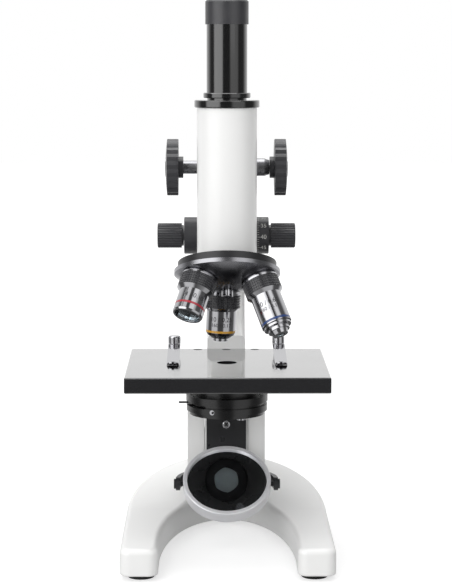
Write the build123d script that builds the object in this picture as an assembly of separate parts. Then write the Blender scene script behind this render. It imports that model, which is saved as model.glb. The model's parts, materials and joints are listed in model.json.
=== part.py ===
from build123d import *
import os
from math import acos, cos, hypot, pi, radians, sin, tan

os.makedirs("parts", exist_ok=True)

# Compound microscope with a tilting arm, a rack-and-pinion tube, a triple nosepiece and a mirror.
# Millimetres, +Z up, +Y away from the user. The origin is the centre of the base's footprint,
# at table level. The optical axis stands on the plane X = 0, at Y = axis_y.

# Fits
running_clearance = 0.05     # radial, between a shaft and its bore
seat_clearance = 0.02        # radial, between pieces of one body
slide_clearance = 0.12       # between the flat faces of a slide
body_gap = 0.3               # between pieces that pass each other

# Base
base_length = 174
base_width = 124
base_front_width = 124
axis_from_front = 79
heel_length = 68
foot_height = 3
foot_diameter = 16
foot_pocket = 1.5
foot_inset_front = 13
foot_inset_side = 12
rear_foot_spacing = 56
rear_foot_inset = 24
leg_height = 16
leg_width = 22
throat_back = 55
throat_arch_start = 24
ramp_start = 30
ramp_rise = 18
ramp_length = 58
ramp_bend = 60
leg_corner = 6
base_top_round = 3.5
base_edge_round = 1.2

# Pillar and inclination joint
pivot_behind = 66
pivot_height = 80
cheek_radius = 15
cheek_thickness = 10.6
cheek_gap = 27.8
cheek_front = 50
cheek_foot_back = 85
cheek_bore = 8
cheek_head_diameter = 14
cheek_head_depth = 3
stop_web_thickness = 5
stop_web_top = 58

# Arm
lug_side_gap = 0.3
limb_width = 24
head_width = 30
tail_bottom = 36
tail_thickness = 12
tail_back = 78
tail_bend = 46
throat_bottom = 122
throat_depth = 70
throat_middle = 147
head_bottom = 172
head_front = 34
guide_front = 44
head_top = 257
head_top_thickness = 14
limb_back = 93
limb_back_height = 168
limb_shoulder_back = 84
limb_shoulder_height = 100
limb_round = 3

# Stage
stage_width = 120
stage_depth = 110
stage_thickness = 9.3
stage_top = 113.7
stage_hole = 12
stage_screw_spacing = 18
stage_screw_inset = 3.5
stage_screw_diameter = 3
stage_screw_head = 5.4
stage_screw_head_depth = 2
stage_edge = 0.6
shelf_thickness = 8
shelf_width = 46
shelf_front = 24

# Stage clips
clip_spacing = 65
clip_behind = 40
clip_post_diameter = 4
clip_cap_diameter = 7.7
clip_cap_height = 4.6
clip_lift = 5
clip_width = 7.5
clip_length = 53
clip_leaf = 0.7
clip_tip_rise = 1.6
clip_tip_length = 4
clip_eye = 3

# Substage: condenser, iris diaphragm and filter ring
condenser_diameter = 39
condenser_height = 9.4
condenser_lens_diameter = 22
condenser_lens_height = 5.2
condenser_lens_crown = 2.6
iris_flange_diameter = 49.4
iris_flange_height = 4
iris_groove_diameter = 46
iris_groove_height = 2
iris_cup_diameter = 48.7
iris_cup_height = 3.7
iris_cavity_diameter = 42.4
iris_floor = 1.3
iris_port = 27
iris_blade_count = 6
iris_blade_thickness = 0.25
iris_blade_pitch = 0.38
iris_blade_inner = 12
iris_blade_outer = 17.4
iris_blade_sweep = 128
iris_pin_circle = 19.2
iris_pin_diameter = 1
iris_rest_turn = 13.5
iris_ring_inner = 13.5
iris_ring_thickness = 0.8
iris_lever_diameter = 1.2
iris_lever_reach = 29.2
iris_slot_back = 32
iris_slot_front = 56
iris_slot_height = 1.6
iris_blade_offset = 30
iris_screw_angle = 248
iris_screw_diameter = 3
filter_diameter = 45
filter_bore = 30
filter_thickness = 2
filter_ledge = 1
filter_pivot_radius = 18.8
filter_pivot_angle = -63.4
filter_screw_diameter = 2.4
filter_screw_head = 5
filter_screw_head_height = 1

# Mirror
mirror_height = 39.2
mirror_diameter = 53.5
mirror_glass_diameter = 48.5
mirror_thickness = 8.2
mirror_glass_recess = 1.5
mirror_glass_thickness = 1.6
mirror_tilt = 38
mirror_lip = 0.8
fork_gap = 1.4
fork_radial = 2.6
fork_height = 7
fork_eye_diameter = 8
fork_stem_diameter = 6
pivot_screw_diameter = 3
pivot_screw_head = 6
pivot_screw_head_height = 1.2
pivot_screw_depth = 1.6
bar_width = 25
bar_thickness = 3
bar_top = 76
bar_bottom = 30
bar_boss_diameter = 12
bar_boss_length = 5
bar_screw_height = 66.7
bar_screw_diameter = 4
bar_screw_head = 5.2
bar_screw_head_height = 2

# Focusing head, carriage and coarse drive
carriage_width = 28
carriage_bottom = 203
carriage_top = 255
carriage_front = 22.4
rib_width = 12
rib_flare = 2
rib_depth = 6
tube_slide_width = 14
tube_slide_flare = 3
tube_slide_back = 28
tube_slide_front = 14
tube_slide_bottom = 184
tube_slide_top = 256
coarse_axis_height = 230
gear_module = 0.6
pinion_teeth = 16
pressure_angle = 20
gear_backlash = 0.04
gear_clearance = 0.15
pinion_width = 8
rack_pitch_line = 31.2
rack_width = 8
coarse_shaft_diameter = 8.2
coarse_core_diameter = 5
coarse_shaft_step = 9
coarse_knob_diameter = 35
coarse_knob_width = 8
coarse_knob_inner = 29.7
coarse_knob_scallops = 22
coarse_knob_scallop_depth = 0.7
coarse_knob_dome = 1.1
coarse_hub_diameter = 13.3
coarse_hub_width = 3
coarse_cap_diameter = 12
coarse_cap_height = 1.2
coarse_sleeve_diameter = 11
coarse_sleeve_nose = 9
coarse_sleeve_taper = 3

# Fine drive: the knob's screw pushes a wedge that lifts the carriage
fine_axis_behind = 43
fine_axis_height = 187
fine_shaft_diameter = 6
fine_drum_diameter = 23
fine_drum_width = 11
fine_knob_diameter = 15.5
fine_knob_length = 16.3
fine_knob_knurls = 30
fine_knob_knurl_depth = 0.35
fine_knob_neck = 1.2
fine_knob_neck_diameter = 13
fine_knob_chamfer = 0.6
wedge_length = 16
wedge_middle = 196
wedge_slope = 0.4
wedge_travel = 2
wedge_floor = 181.5
wedge_front = 37.5
wedge_back = 48.5
wedge_foot_gap = 0.05
foot_length = 10
head_step = 201

# Body tube, draw tube and eyepiece
tube_diameter = 36
tube_bore = 31
tube_top = 268
collar_diameter = 39.2
collar_height = 4.6
collar_round = 0.8
draw_tube_diameter = 24.4
draw_tube_bore = 23.2
draw_tube_top = 317.5
draw_neck_diameter = 23.8
draw_flange_diameter = 28.4
draw_flange_bottom = 273.8
draw_flange_top = 276.9
eyepiece_barrel_length = 21
eyepiece_wall = 1.2
eyepiece_cap_diameter = 25.9
eyepiece_cap_height = 14.6
eyepiece_cap_shoulder = 1.1
eyepiece_cap_face = 23.8
eyepiece_cup_diameter = 16
eyepiece_cup_depth = 2.4
eyepiece_cap_wall = 3
eye_lens_diameter = 15
eye_lens_thickness = 3
eye_lens_crown = 0.8
field_lens_diameter = 19
field_lens_thickness = 3
field_lens_crown = 1.6
lens_ledge = 1.2

# Nosepiece: its axis leans forward and meets the optical axis at the apex
nosepiece_angle = 21
apex_height = 214.2
plate_start = 41
plate_thickness = 4.4
plate_diameter = 58.8
lobe_diameter = 39
light_bore = 20
turret_gap = 0.3
turret_diameter = 63
turret_ball_radius = 57.5
turret_park_angle = -7.5
objective_count = 3
nose_bolt_diameter = 6
nose_bolt_head = 6.8
nose_bolt_head_height = 4.2
click_ball_diameter = 3
click_circle = 50
click_spring_diameter = 2.4
click_spring_length = 1.2
dimple_depth = 0.5

# Objectives, measured along their own axes from the apex
objective_shoulder = 56.7
objective_thread = 20.2
objective_neck = 20.5
objective_neck_length = 0.8
objective_washer = 22
objective_washer_thickness = 1
objective_grip = 22
objective_grip_length = 8
objective_grip_flutes = 40
objective_grip_depth = 0.35
objective_bevel = 2
objective_barrel = 18
objective_bore = 12
barrel_length_4x = 8.6
barrel_length_10x = 11.8
barrel_length_40x = 16.6
band_length = 1.4
band_groove = 0.15
nose_length_4x = 4.3
nose_length_10x = 5.3
nose_length_40x = 7.2
mouth_diameter_4x = 15
mouth_depth_4x = 3.6
tip_diameter_4x = 17
tip_diameter_10x = 8.8
tip_diameter_40x = 9
front_lens_share = 0.55

# Places that follow from the sizes above
axis_y = axis_from_front - base_length / 2
base_front = -base_length / 2
base_back = base_length / 2
leg_top = foot_height + leg_height
stage_bottom = stage_top - stage_thickness
cheek_inner = cheek_gap / 2
cheek_outer = cheek_inner + cheek_thickness
lug_width = cheek_gap - 2 * lug_side_gap
pivot_y = axis_y + pivot_behind
shelf_bottom = stage_bottom - shelf_thickness
coarse_y = axis_y + rack_pitch_line + gear_module * pinion_teeth / 2
fine_y = axis_y + fine_axis_behind
drum_inner = head_width / 2 + body_gap
drum_outer = drum_inner + fine_drum_width
fine_knob_inner = drum_outer + body_gap
fine_knob_outer = fine_knob_inner + fine_knob_length
coarse_hub_inner = coarse_knob_inner - coarse_hub_width
coarse_knob_outer = coarse_knob_inner + coarse_knob_width
iris_top = stage_bottom - condenser_height
iris_groove_top = iris_top - iris_flange_height
iris_cup_top = iris_groove_top - iris_groove_height
iris_bottom = iris_cup_top - iris_cup_height
iris_floor_top = iris_bottom + iris_floor
iris_first_blade = iris_floor_top + 0.12
iris_ring_low = iris_first_blade + iris_blade_count * iris_blade_pitch + 0.1
iris_ring_high = iris_ring_low + iris_ring_thickness
filter_top = iris_bottom - body_gap
filter_bottom = filter_top - filter_thickness
eye_seat = draw_tube_top + running_clearance
lean = radians(nosepiece_angle)
turret_start = plate_start + plate_thickness + turret_gap
turret_plane = Plane(origin=(0, axis_y, apex_height), x_dir=(1, 0, 0), z_dir=(0, -sin(lean), -cos(lean)))
turret_axis = Axis((0, axis_y, apex_height), (0, -sin(lean), -cos(lean)))
thread_start = (turret_start + objective_thread / 2 * sin(lean)) / cos(lean) + body_gap
objective_plane = Plane(origin=(0, axis_y, apex_height), x_dir=(1, 0, 0), z_dir=(0, 0, -1))
mirror_place = Pos(0, axis_y, mirror_height)
fork_inner = hypot(mirror_diameter / 2, mirror_thickness / 2) + fork_gap
fork_outer = fork_inner + fork_radial


def upright(radius, low, high, x=0, y=axis_y):
    """Cylinder standing along Z."""
    return Pos(x, y, (low + high) / 2) * Cylinder(radius, high - low)


def crosswise(radius, left, right, y, z):
    """Cylinder lying along X."""
    return Pos((left + right) / 2, y, z) * Rot(0, 90, 0) * Cylinder(radius, right - left)


def lengthwise(radius, front, back, x, z):
    """Cylinder lying along Y."""
    return Pos(x, (front + back) / 2, z) * Rot(90, 0, 0) * Cylinder(radius, back - front)


def block(left, right, front, back, low, high):
    """Box between three pairs of planes."""
    middle = Pos((left + right) / 2, (front + back) / 2, (low + high) / 2)
    return middle * Box(right - left, back - front, high - low)


def side_plate(face, left, right):
    """Extrude a face, drawn in (Y, Z), from X = left to X = right."""
    return extrude(Plane.YZ.offset(left) * face, right - left)


def stacked(levels):
    """Revolve a stack of (low radius, high radius, low, high) cones about Z."""
    body = None
    for low_radius, high_radius, low, high in levels:
        corners = ((0, 0, low), (low_radius, 0, low), (high_radius, 0, high), (0, 0, high))
        outline = Polyline(*corners, close=True)
        piece = revolve(make_face(outline), Axis.Z)
        body = piece if body is None else body + piece
    return body


def along_x(shape, x, y, z):
    """Lay a shape that was drawn about Z along X, its local top pointing to +X."""
    return Pos(x, y, z) * Rot(0, 90, 0) * shape


def dome(radius, crown, low):
    """Spherical cap standing on the plane Z = low."""
    ball = (radius ** 2 + crown ** 2) / (2 * crown)
    cap = Pos(0, 0, low + crown - ball) * Sphere(ball)
    return cap & Pos(0, 0, low + crown / 2) * Cylinder(radius * 1.01, crown)


def fluted(radius, depth, count, low, high):
    """Grip with straight V-shaped flutes, standing along Z."""
    step = pi / count
    ring = [(radius - depth * (n % 2), n * step) for n in range(2 * count)]
    outline = Polyline(*[(r * cos(a), r * sin(a), low) for r, a in ring], close=True)
    return extrude(make_face(outline), high - low, dir=(0, 0, 1))


def sector(inner, outer, low, high, start, sweep):
    """Part of a ring about the optical axis, from the start angle through the sweep."""
    outline = Polyline((inner, 0, low), (outer, 0, low), (outer, 0, high), (inner, 0, high), close=True)
    return Pos(0, axis_y, 0) * Rot(0, 0, start) * revolve(make_face(outline), Axis.Z, revolution_arc=sweep)


def polar(radius, angle, y=axis_y):
    """Point at an angle about the optical axis."""
    return radius * cos(radians(angle)), y + radius * sin(radians(angle))


def leg_plan():
    """Outer plan of the horseshoe: straight legs and a half-ellipse heel."""
    heel_centre = base_back - heel_length
    legs = Polyline(
        (-base_front_width / 2, base_front),
        (base_front_width / 2, base_front),
        (base_width / 2, heel_centre),
        (-base_width / 2, heel_centre),
        close=True,
    )
    plan = make_face(legs) + Pos(0, heel_centre) * Ellipse(base_width / 2, heel_length)
    return plan


def throat_plan():
    """Opening between the legs: parallel at the feet, then one elliptical arch to the back."""
    half_front = base_front_width / 2 - leg_width
    arch_y = base_front + throat_arch_start
    front_y = base_front - leg_corner
    mouth = Pos(0, (front_y + arch_y) / 2) * Rectangle(2 * half_front, arch_y - front_y)
    return mouth + Pos(0, arch_y) * Ellipse(half_front, axis_y + throat_back - arch_y)


def top_profile():
    """Side view of the base: level legs, then a ramp that climbs over the heel."""
    ramp_y = axis_y + ramp_start
    slope = ramp_rise / ramp_length
    back = base_back + leg_corner
    line = Polyline(
        (base_front - leg_corner, foot_height),
        (base_front - leg_corner, leg_top),
        (ramp_y, leg_top),
        (back, leg_top + slope * (back - ramp_y)),
        (back, foot_height),
        close=True,
    )
    face = make_face(line)
    bend = face.vertices().filter_by(lambda v: abs(v.X - ramp_y) < 0.01)
    return fillet(bend, ramp_bend)


def cheek_profile():
    """Side view of one pillar cheek: a tapered upright with a round head."""
    front = axis_y + cheek_front
    foot_back = axis_y + cheek_foot_back
    head = Pos(pivot_y, pivot_height) * Circle(cheek_radius)
    leg = Polyline(
        (front, leg_top),
        (front, pivot_height),
        (pivot_y, pivot_height + cheek_radius * 0.2),
        (pivot_y + cheek_radius, pivot_height),
        (foot_back, leg_top),
        close=True,
    )
    return make_face(leg) + head


def foot_places():
    """Centres of the four rubber feet."""
    front_x = base_front_width / 2 - foot_inset_side
    front_y = base_front + foot_inset_front
    rear_y = base_back - rear_foot_inset
    return [(s * front_x, front_y) for s in (-1, 1)] + [(s * rear_foot_spacing / 2, rear_y) for s in (-1, 1)]


def make_base_casting():
    """Rounded horseshoe that climbs to the heel, with the two pillar cheeks and their stop web."""
    body = extrude(leg_plan() - throat_plan(), base_back + leg_top)
    body &= side_plate(top_profile(), -base_width, base_width)
    uprights = body.edges().filter_by(Axis.Z).filter_by(lambda e: abs(e.center().Y - base_front) < 1)
    body = fillet(uprights, leg_corner)
    body = fillet(body.faces().sort_by(Axis.Z)[0].edges(), base_edge_round)
    rims = body.edges().filter_by(lambda e: e.center().Z > leg_top - base_edge_round)
    rims = rims.filter_by(lambda e: abs(e.tangent_at(0.5).Z) < 0.9)
    rims = rims.filter_by(lambda e: abs(e.tangent_at(0.5).X) < 0.999 or abs(e.center().Y) > base_back - 1)
    body = fillet(rims, base_top_round)
    for side in (-1, 1):
        body += extrude(Plane.YZ.offset(side * cheek_inner) * cheek_profile(), side * cheek_thickness)
    web_front = axis_y + tail_back + body_gap
    body += block(-cheek_outer, cheek_outer, web_front, web_front + stop_web_thickness, leg_top, stop_web_top)
    reach = cheek_outer + 1
    body -= crosswise(cheek_bore / 2 + seat_clearance, -reach, reach, pivot_y, pivot_height)
    for side in (-1, 1):
        low, high = sorted((side * (cheek_outer - cheek_head_depth), side * (cheek_outer + 1)))
        body -= crosswise(cheek_head_diameter / 2 + seat_clearance, low, high, pivot_y, pivot_height)
    for x, y in foot_places():
        body -= upright(foot_diameter / 2 + seat_clearance, 0, foot_height + foot_pocket, x, y)
    return body


def make_rubber_feet():
    feet = Part()
    for x, y in foot_places():
        pad = upright(foot_diameter / 2, 0, foot_height + foot_pocket, x, y)
        feet += chamfer(pad.edges().sort_by(Axis.Z)[0], foot_height / 5)
    return feet


def make_inclination_axle():
    reach = cheek_outer - cheek_head_depth
    return crosswise(cheek_bore / 2, -reach, reach, pivot_y, pivot_height)


def make_inclination_screws():
    """Slotted cap screws, flush in the cheeks."""
    screws = Part()
    for side in (-1, 1):
        inner = cheek_outer - cheek_head_depth
        low, high = sorted((side * inner, side * cheek_outer))
        head = crosswise(cheek_head_diameter / 2, low, high, pivot_y, pivot_height)
        slot_low, slot_high = sorted((side * (cheek_outer - cheek_head_depth / 3), side * (cheek_outer + 1)))
        slot = cheek_head_diameter / 12
        head -= block(slot_low, slot_high, pivot_y - cheek_head_diameter, pivot_y + cheek_head_diameter,
                      pivot_height - slot, pivot_height + slot)
        screws += head
    return screws


def arm_profile():
    """Side view of the arm: tail between the cheeks, stage seat, curved limb and focusing head."""
    limb_front = axis_y + stage_depth / 2 + body_gap
    top_back = axis_y + guide_front + head_top_thickness
    lower = Polyline(
        (limb_front, throat_bottom),
        (limb_front, stage_bottom),
        (axis_y + cheek_front, stage_bottom),
        (axis_y + cheek_front, tail_bottom),
        (axis_y + cheek_front + tail_thickness, tail_bottom),
        (axis_y + tail_back, tail_bend),
        (axis_y + tail_back, pivot_height),
        (axis_y + limb_shoulder_back, limb_shoulder_height),
    )
    rear = ThreePointArc(
        (axis_y + limb_shoulder_back, limb_shoulder_height),
        (axis_y + limb_back, limb_back_height),
        (top_back, head_top),
    )
    upper = Polyline(
        (top_back, head_top),
        (axis_y + guide_front, head_top),
        (axis_y + guide_front, head_step),
        (axis_y + head_front, head_step),
        (axis_y + head_front, head_bottom),
        (axis_y + cheek_front, head_bottom),
    )
    throat = ThreePointArc(
        (axis_y + cheek_front, head_bottom),
        (axis_y + throat_depth, throat_middle),
        (limb_front, throat_bottom),
    )
    return make_face(lower.edges() + rear.edges() + upper.edges() + throat.edges())


def make_limb_casting():
    face = arm_profile()
    body = side_plate(face, -limb_width / 2, limb_width / 2)
    rims = body.edges().filter_by(lambda e: abs(abs(e.center().X) - limb_width / 2) < 0.01)
    rims = rims.filter_by(lambda e: e.center().Z > stage_top and e.center().Y > axis_y + cheek_front)
    rims = rims.filter_by(lambda e: e.length > limb_width)
    body = fillet(rims, limb_round)
    lug = side_plate(face, -lug_width / 2, lug_width / 2)
    body += lug & block(-lug_width, lug_width, base_front, base_back * 2, 0, shelf_bottom)
    head_back = axis_y + guide_front + head_top_thickness
    head = side_plate(face, -head_width / 2, head_width / 2)
    head &= block(-head_width, head_width, base_front, head_back, head_bottom, head_top)
    body += chamfer(head.edges().filter_by(Axis.Z).group_by(Axis.Y)[-1], limb_round)
    shelf_back = axis_y + stage_depth / 2 + limb_round
    shelf_side = shelf_width / 2
    body += block(-shelf_side, shelf_side, axis_y + shelf_front, shelf_back, shelf_bottom, stage_bottom)
    rib = rib_plan(slide_clearance)
    body -= Pos(0, 0, head_step) * extrude(rib, head_top)
    body -= block(-wedge_length / 2 - wedge_travel - body_gap, wedge_length / 2 + wedge_travel + body_gap,
                  axis_y + wedge_front, axis_y + wedge_back, wedge_floor, head_step + 1)
    body -= crosswise(fine_shaft_diameter / 2 + running_clearance, -head_width, head_width, fine_y,
                      fine_axis_height)
    body -= crosswise(cheek_bore / 2 + running_clearance, -lug_width, lug_width, pivot_y, pivot_height)
    tail_front = axis_y + cheek_front
    body -= lengthwise(bar_screw_diameter / 2 + seat_clearance, tail_front - 1, tail_front + 2 * bar_screw_head,
                       0, bar_screw_height)
    for x, y in stage_screw_places():
        body -= upright(stage_screw_diameter / 2 + seat_clearance, shelf_bottom + 1, stage_bottom, x, y)
    return body


def rib_plan(grow):
    """Dovetail rib on the carriage's back, in plan."""
    front = axis_y + guide_front - 2 * slide_clearance
    back = axis_y + guide_front + rib_depth
    near = rib_width / 2 + grow
    far = rib_width / 2 + rib_flare + grow
    line = Polyline((-near, front), (near, front), (far, back + grow), (-far, back + grow), close=True)
    return make_face(line)


def slide_plan(grow):
    """Dovetail slide on the tube's back, in plan."""
    front = axis_y + tube_slide_front
    step = axis_y + carriage_front
    back = axis_y + tube_slide_back + grow
    near = tube_slide_width / 2 + grow
    far = near + tube_slide_flare
    line = Polyline((-near, front), (near, front), (near, step), (far, back), (-far, back), (-near, step),
                    close=True)
    return make_face(line)


def stage_screw_places():
    y = axis_y + stage_depth / 2 - stage_screw_inset
    return [(n * stage_screw_spacing, y) for n in (-1, 0, 1)]


def clip_places():
    return [(side * clip_spacing / 2, axis_y + clip_behind) for side in (-1, 1)]


def make_stage_plate():
    edge = stage_depth / 2
    plate = block(-stage_width / 2, stage_width / 2, axis_y - edge, axis_y + edge, stage_bottom, stage_top)
    plate = chamfer(plate.edges(), stage_edge)
    plate -= upright(stage_hole / 2, stage_bottom - 1, stage_top + 1)
    for x, y in stage_screw_places():
        plate -= upright(stage_screw_diameter / 2 + seat_clearance, stage_bottom - 1, stage_top, x, y)
        head_low = stage_top - stage_screw_head_depth
        plate -= upright(stage_screw_head / 2 + seat_clearance, head_low, stage_top + 1, x, y)
    for x, y in clip_places():
        plate -= upright(clip_post_diameter / 2 + seat_clearance, stage_bottom + 1, stage_top + 1, x, y)
    return plate


def make_stage_screws():
    screws = Part()
    for x, y in stage_screw_places():
        head_low = stage_top - stage_screw_head_depth + seat_clearance
        screw = upright(stage_screw_diameter / 2, shelf_bottom + 1, head_low, x, y)
        screw += upright(stage_screw_head / 2, head_low, stage_top, x, y)
        slot = stage_screw_head / 10
        reach = stage_screw_head
        screw -= block(x - reach, x + reach, y - slot, y + slot, stage_top - slot, stage_top + 1)
        screws += screw
    return screws


def make_clip_posts():
    """Posts with domed caps that hold the two specimen clips."""
    leaf_low = stage_top + clip_lift
    cap_low = leaf_low + clip_leaf + body_gap
    cap_high = cap_low + clip_cap_height
    thin = clip_post_diameter / 2
    posts = Part()
    for x, y in clip_places():
        post = upright(thin, stage_bottom + 1, cap_low, x, y)
        post += upright(thin * 1.5, stage_top, leaf_low - slide_clearance, x, y)
        cap = upright(clip_cap_diameter / 2, cap_low, cap_high, x, y)
        post += fillet(cap.edges().sort_by(Axis.Z)[-1], clip_cap_height / 4)
        posts += post
    return posts


def make_clip(side):
    """Spring leaf: an eye round the post, a long slope down to the stage and an upturned tip."""
    x = side * clip_spacing / 2
    eye_y = axis_y + clip_behind
    high = stage_top + clip_lift
    low = stage_top + slide_clearance
    tip_y = eye_y - clip_length
    touch_y = tip_y + clip_tip_length
    bend_y = eye_y - clip_width
    run = [(eye_y + clip_width / 2, high), (bend_y, high), (touch_y, low), (tip_y, low + clip_tip_rise)]
    back = [(y, z + clip_leaf) for y, z in reversed(run)]
    leaf = side_plate(make_face(Polyline(*run, *back, close=True)), x - clip_width / 2, x + clip_width / 2)
    length = eye_y + clip_width / 2 - tip_y
    plan = Pos(x, tip_y + length / 2, low - 1) * Rot(0, 0, 90) * SlotOverall(length, clip_width)
    leaf &= extrude(plan, 2 * clip_lift, dir=(0, 0, 1))
    leaf -= upright(clip_post_diameter / 2 + running_clearance, high - 1, high + 2, x, eye_y)
    leaf -= upright(clip_eye / 2, low - 1, high, x, touch_y + clip_eye)
    return leaf


def make_condenser_mount():
    mount = upright(condenser_diameter / 2, iris_top, stage_bottom)
    mount -= upright(condenser_lens_diameter / 2 + seat_clearance, iris_top + lens_ledge, stage_bottom + 1)
    mount -= upright(condenser_lens_diameter / 2 - lens_ledge, iris_top - 1, stage_bottom)
    return mount


def make_condenser_lens():
    low = iris_top + lens_ledge + seat_clearance
    radius = condenser_lens_diameter / 2
    lens = upright(radius, low, low + condenser_lens_height)
    return lens + Pos(0, axis_y, 0) * dome(radius, condenser_lens_crown, low + condenser_lens_height)


def iris_pivots():
    step = 360 / iris_blade_count
    return [iris_blade_offset + n * step for n in range(iris_blade_count)]


def make_iris_housing():
    """Flange, groove and cup round the iris, with a slot for its lever."""
    housing = upright(iris_flange_diameter / 2, iris_groove_top, iris_top)
    housing += upright(iris_groove_diameter / 2, iris_cup_top, iris_groove_top)
    housing += upright(iris_cup_diameter / 2, iris_bottom, iris_cup_top)
    cavity_top = iris_ring_high + body_gap
    housing -= upright(iris_cavity_diameter / 2, iris_floor_top, cavity_top)
    housing -= upright(condenser_lens_diameter / 2 - lens_ledge, cavity_top - 1, iris_top + 1)
    housing -= upright(iris_port / 2, iris_bottom - 1, iris_floor_top + 1)
    slot_low = (iris_ring_low + iris_ring_high - iris_slot_height) / 2
    slot_high = slot_low + iris_slot_height
    slot_sweep = iris_slot_back + iris_slot_front
    housing -= sector(iris_cavity_diameter / 2 - 1, iris_flange_diameter, slot_low, slot_high,
                      180 - iris_slot_back, slot_sweep)
    pin_hole = iris_pin_diameter / 2 + running_clearance
    for angle in iris_pivots():
        x, y = polar(iris_pin_circle, angle)
        housing -= upright(pin_hole, iris_bottom + 0.3 * iris_floor, iris_floor_top + 1, x, y)
    x, y = polar(filter_pivot_radius, filter_pivot_angle)
    screw_room = filter_screw_diameter / 2 + seat_clearance
    housing -= upright(screw_room, iris_bottom - 1, iris_bottom + 0.8 * iris_floor, x, y)
    housing -= iris_screw_shape(seat_clearance)
    return housing


def iris_screw_shape(grow):
    depth = iris_cup_diameter / 2 - iris_cavity_diameter / 2 - 1
    screw = Cylinder(iris_screw_diameter / 2 + grow, depth + 2 * grow)
    place = Pos(0, axis_y, (iris_bottom + iris_cup_top) / 2) * Rot(0, 0, iris_screw_angle)
    middle = iris_cup_diameter / 2 - depth / 2
    return place * Pos(middle, 0, 0) * Rot(0, 90, 0) * screw


def make_iris_ring():
    """Ring that turns the blades, with its lever pointing left at rest."""
    outer = iris_cavity_diameter / 2 - body_gap
    ring = upright(outer, iris_ring_low, iris_ring_high)
    ring -= upright(iris_ring_inner, iris_ring_low - 1, iris_ring_high + 1)
    middle = (iris_ring_low + iris_ring_high) / 2
    lever = crosswise(iris_lever_diameter / 2, -iris_lever_reach, -outer + 1, axis_y, middle)
    return ring + lever


def make_iris_blade(number):
    """Curved leaf with a pivot pin that stands in the floor of the iris housing."""
    low = iris_first_blade + number * iris_blade_pitch
    high = low + iris_blade_thickness
    leaf = sector(iris_blade_inner, iris_blade_outer, low, high, -4, iris_blade_sweep)
    ear = iris_pin_diameter / 2 + 1.1
    x, y = polar(iris_pin_circle, 0)
    leaf += upright(ear, low, high, x, y)
    leaf += block(iris_blade_outer - 1, iris_pin_circle, y - ear, y + ear, low, high)
    leaf += upright(iris_pin_diameter / 2, iris_bottom + 0.4 * iris_floor, low, x, y)
    leaf = leaf.rotate(Axis((x, y, 0), (0, 0, 1)), iris_rest_turn)
    return leaf.rotate(Axis((0, axis_y, 0), (0, 0, 1)), iris_pivots()[number])


def make_filter_pivot_screw():
    x, y = polar(filter_pivot_radius, filter_pivot_angle)
    head_high = filter_bottom - slide_clearance
    screw = upright(filter_screw_diameter / 2, head_high, iris_bottom + 0.7 * iris_floor, x, y)
    return screw + upright(filter_screw_head / 2, head_high - filter_screw_head_height, head_high, x, y)


def make_filter_ring():
    """Swing-out ring with a ledge for a filter disc."""
    ring = upright(filter_diameter / 2, filter_bottom, filter_top)
    ring -= upright(filter_bore / 2, filter_bottom + filter_ledge, filter_top + 1)
    ring -= upright(filter_bore / 2 - filter_ledge, filter_bottom - 1, filter_top)
    x, y = polar(filter_pivot_radius, filter_pivot_angle)
    pivot_bore = filter_screw_diameter / 2 + running_clearance
    return ring - upright(pivot_bore, filter_bottom - 1, filter_top + 1, x, y)


def make_mirror_bar():
    """Plate on the arm's tail with a boss for the mirror fork's stem."""
    back = axis_y + cheek_front
    front = back - bar_thickness
    bar = block(-bar_width / 2, bar_width / 2, front, back, bar_bottom, bar_top)
    bar = chamfer(bar.edges().filter_by(Axis.Y), bar_thickness / 3)
    bar += lengthwise(bar_boss_diameter / 2, front - bar_boss_length, front, 0, mirror_height)
    stem_bore = fork_stem_diameter / 2 + running_clearance
    bar -= lengthwise(stem_bore, front - bar_boss_length - 1, back, 0, mirror_height)
    return bar - lengthwise(bar_screw_diameter / 2 + seat_clearance, front - 1, back + 1, 0, bar_screw_height)


def make_mirror_bar_screw():
    back = axis_y + cheek_front
    front = back - bar_thickness
    head = lengthwise(bar_screw_head / 2, front - bar_screw_head_height, front, 0, bar_screw_height)
    head = fillet(head.edges().sort_by(Axis.Y)[0], bar_screw_head_height / 2)
    slot = bar_screw_head / 14
    head -= block(-slot, slot, front - bar_screw_head, front - bar_screw_head_height / 2,
                  bar_screw_height - bar_screw_head, bar_screw_height + bar_screw_head)
    return head + lengthwise(bar_screw_diameter / 2, front, back + bar_screw_head, 0, bar_screw_height)


def make_mirror_fork():
    """Half-ring behind the mirror, an eye at each end and a stem in the bar's boss."""
    low = mirror_height - fork_height / 2
    fork = sector(fork_inner, fork_outer, low, low + fork_height, 0, 180)
    for side in (-1, 1):
        left, right = sorted((side * fork_inner, side * fork_outer))
        fork += crosswise(fork_eye_diameter / 2, left, right, axis_y, mirror_height)
    stem_back = axis_y + cheek_front - slide_clearance
    stem_front = axis_y + fork_inner + fork_radial / 2
    fork += lengthwise(fork_stem_diameter / 2, stem_front, stem_back, 0, mirror_height)
    reach = fork_outer + 1
    return fork - crosswise(pivot_screw_diameter / 2 + seat_clearance, -reach, reach, axis_y, mirror_height)


def make_mirror_pivot_screws():
    screws = Part()
    tip = mirror_diameter / 2 - pivot_screw_depth
    for side in (-1, 1):
        left, right = sorted((side * tip, side * fork_outer))
        screw = crosswise(pivot_screw_diameter / 2, left, right, axis_y, mirror_height)
        left, right = sorted((side * fork_outer, side * (fork_outer + pivot_screw_head_height)))
        screws += screw + crosswise(pivot_screw_head / 2, left, right, axis_y, mirror_height)
    return screws


def tilted(shape):
    """Put a piece that was drawn flat about the origin in the tilted mirror's place."""
    return mirror_place * Rot(mirror_tilt, 0, 0) * shape


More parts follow.
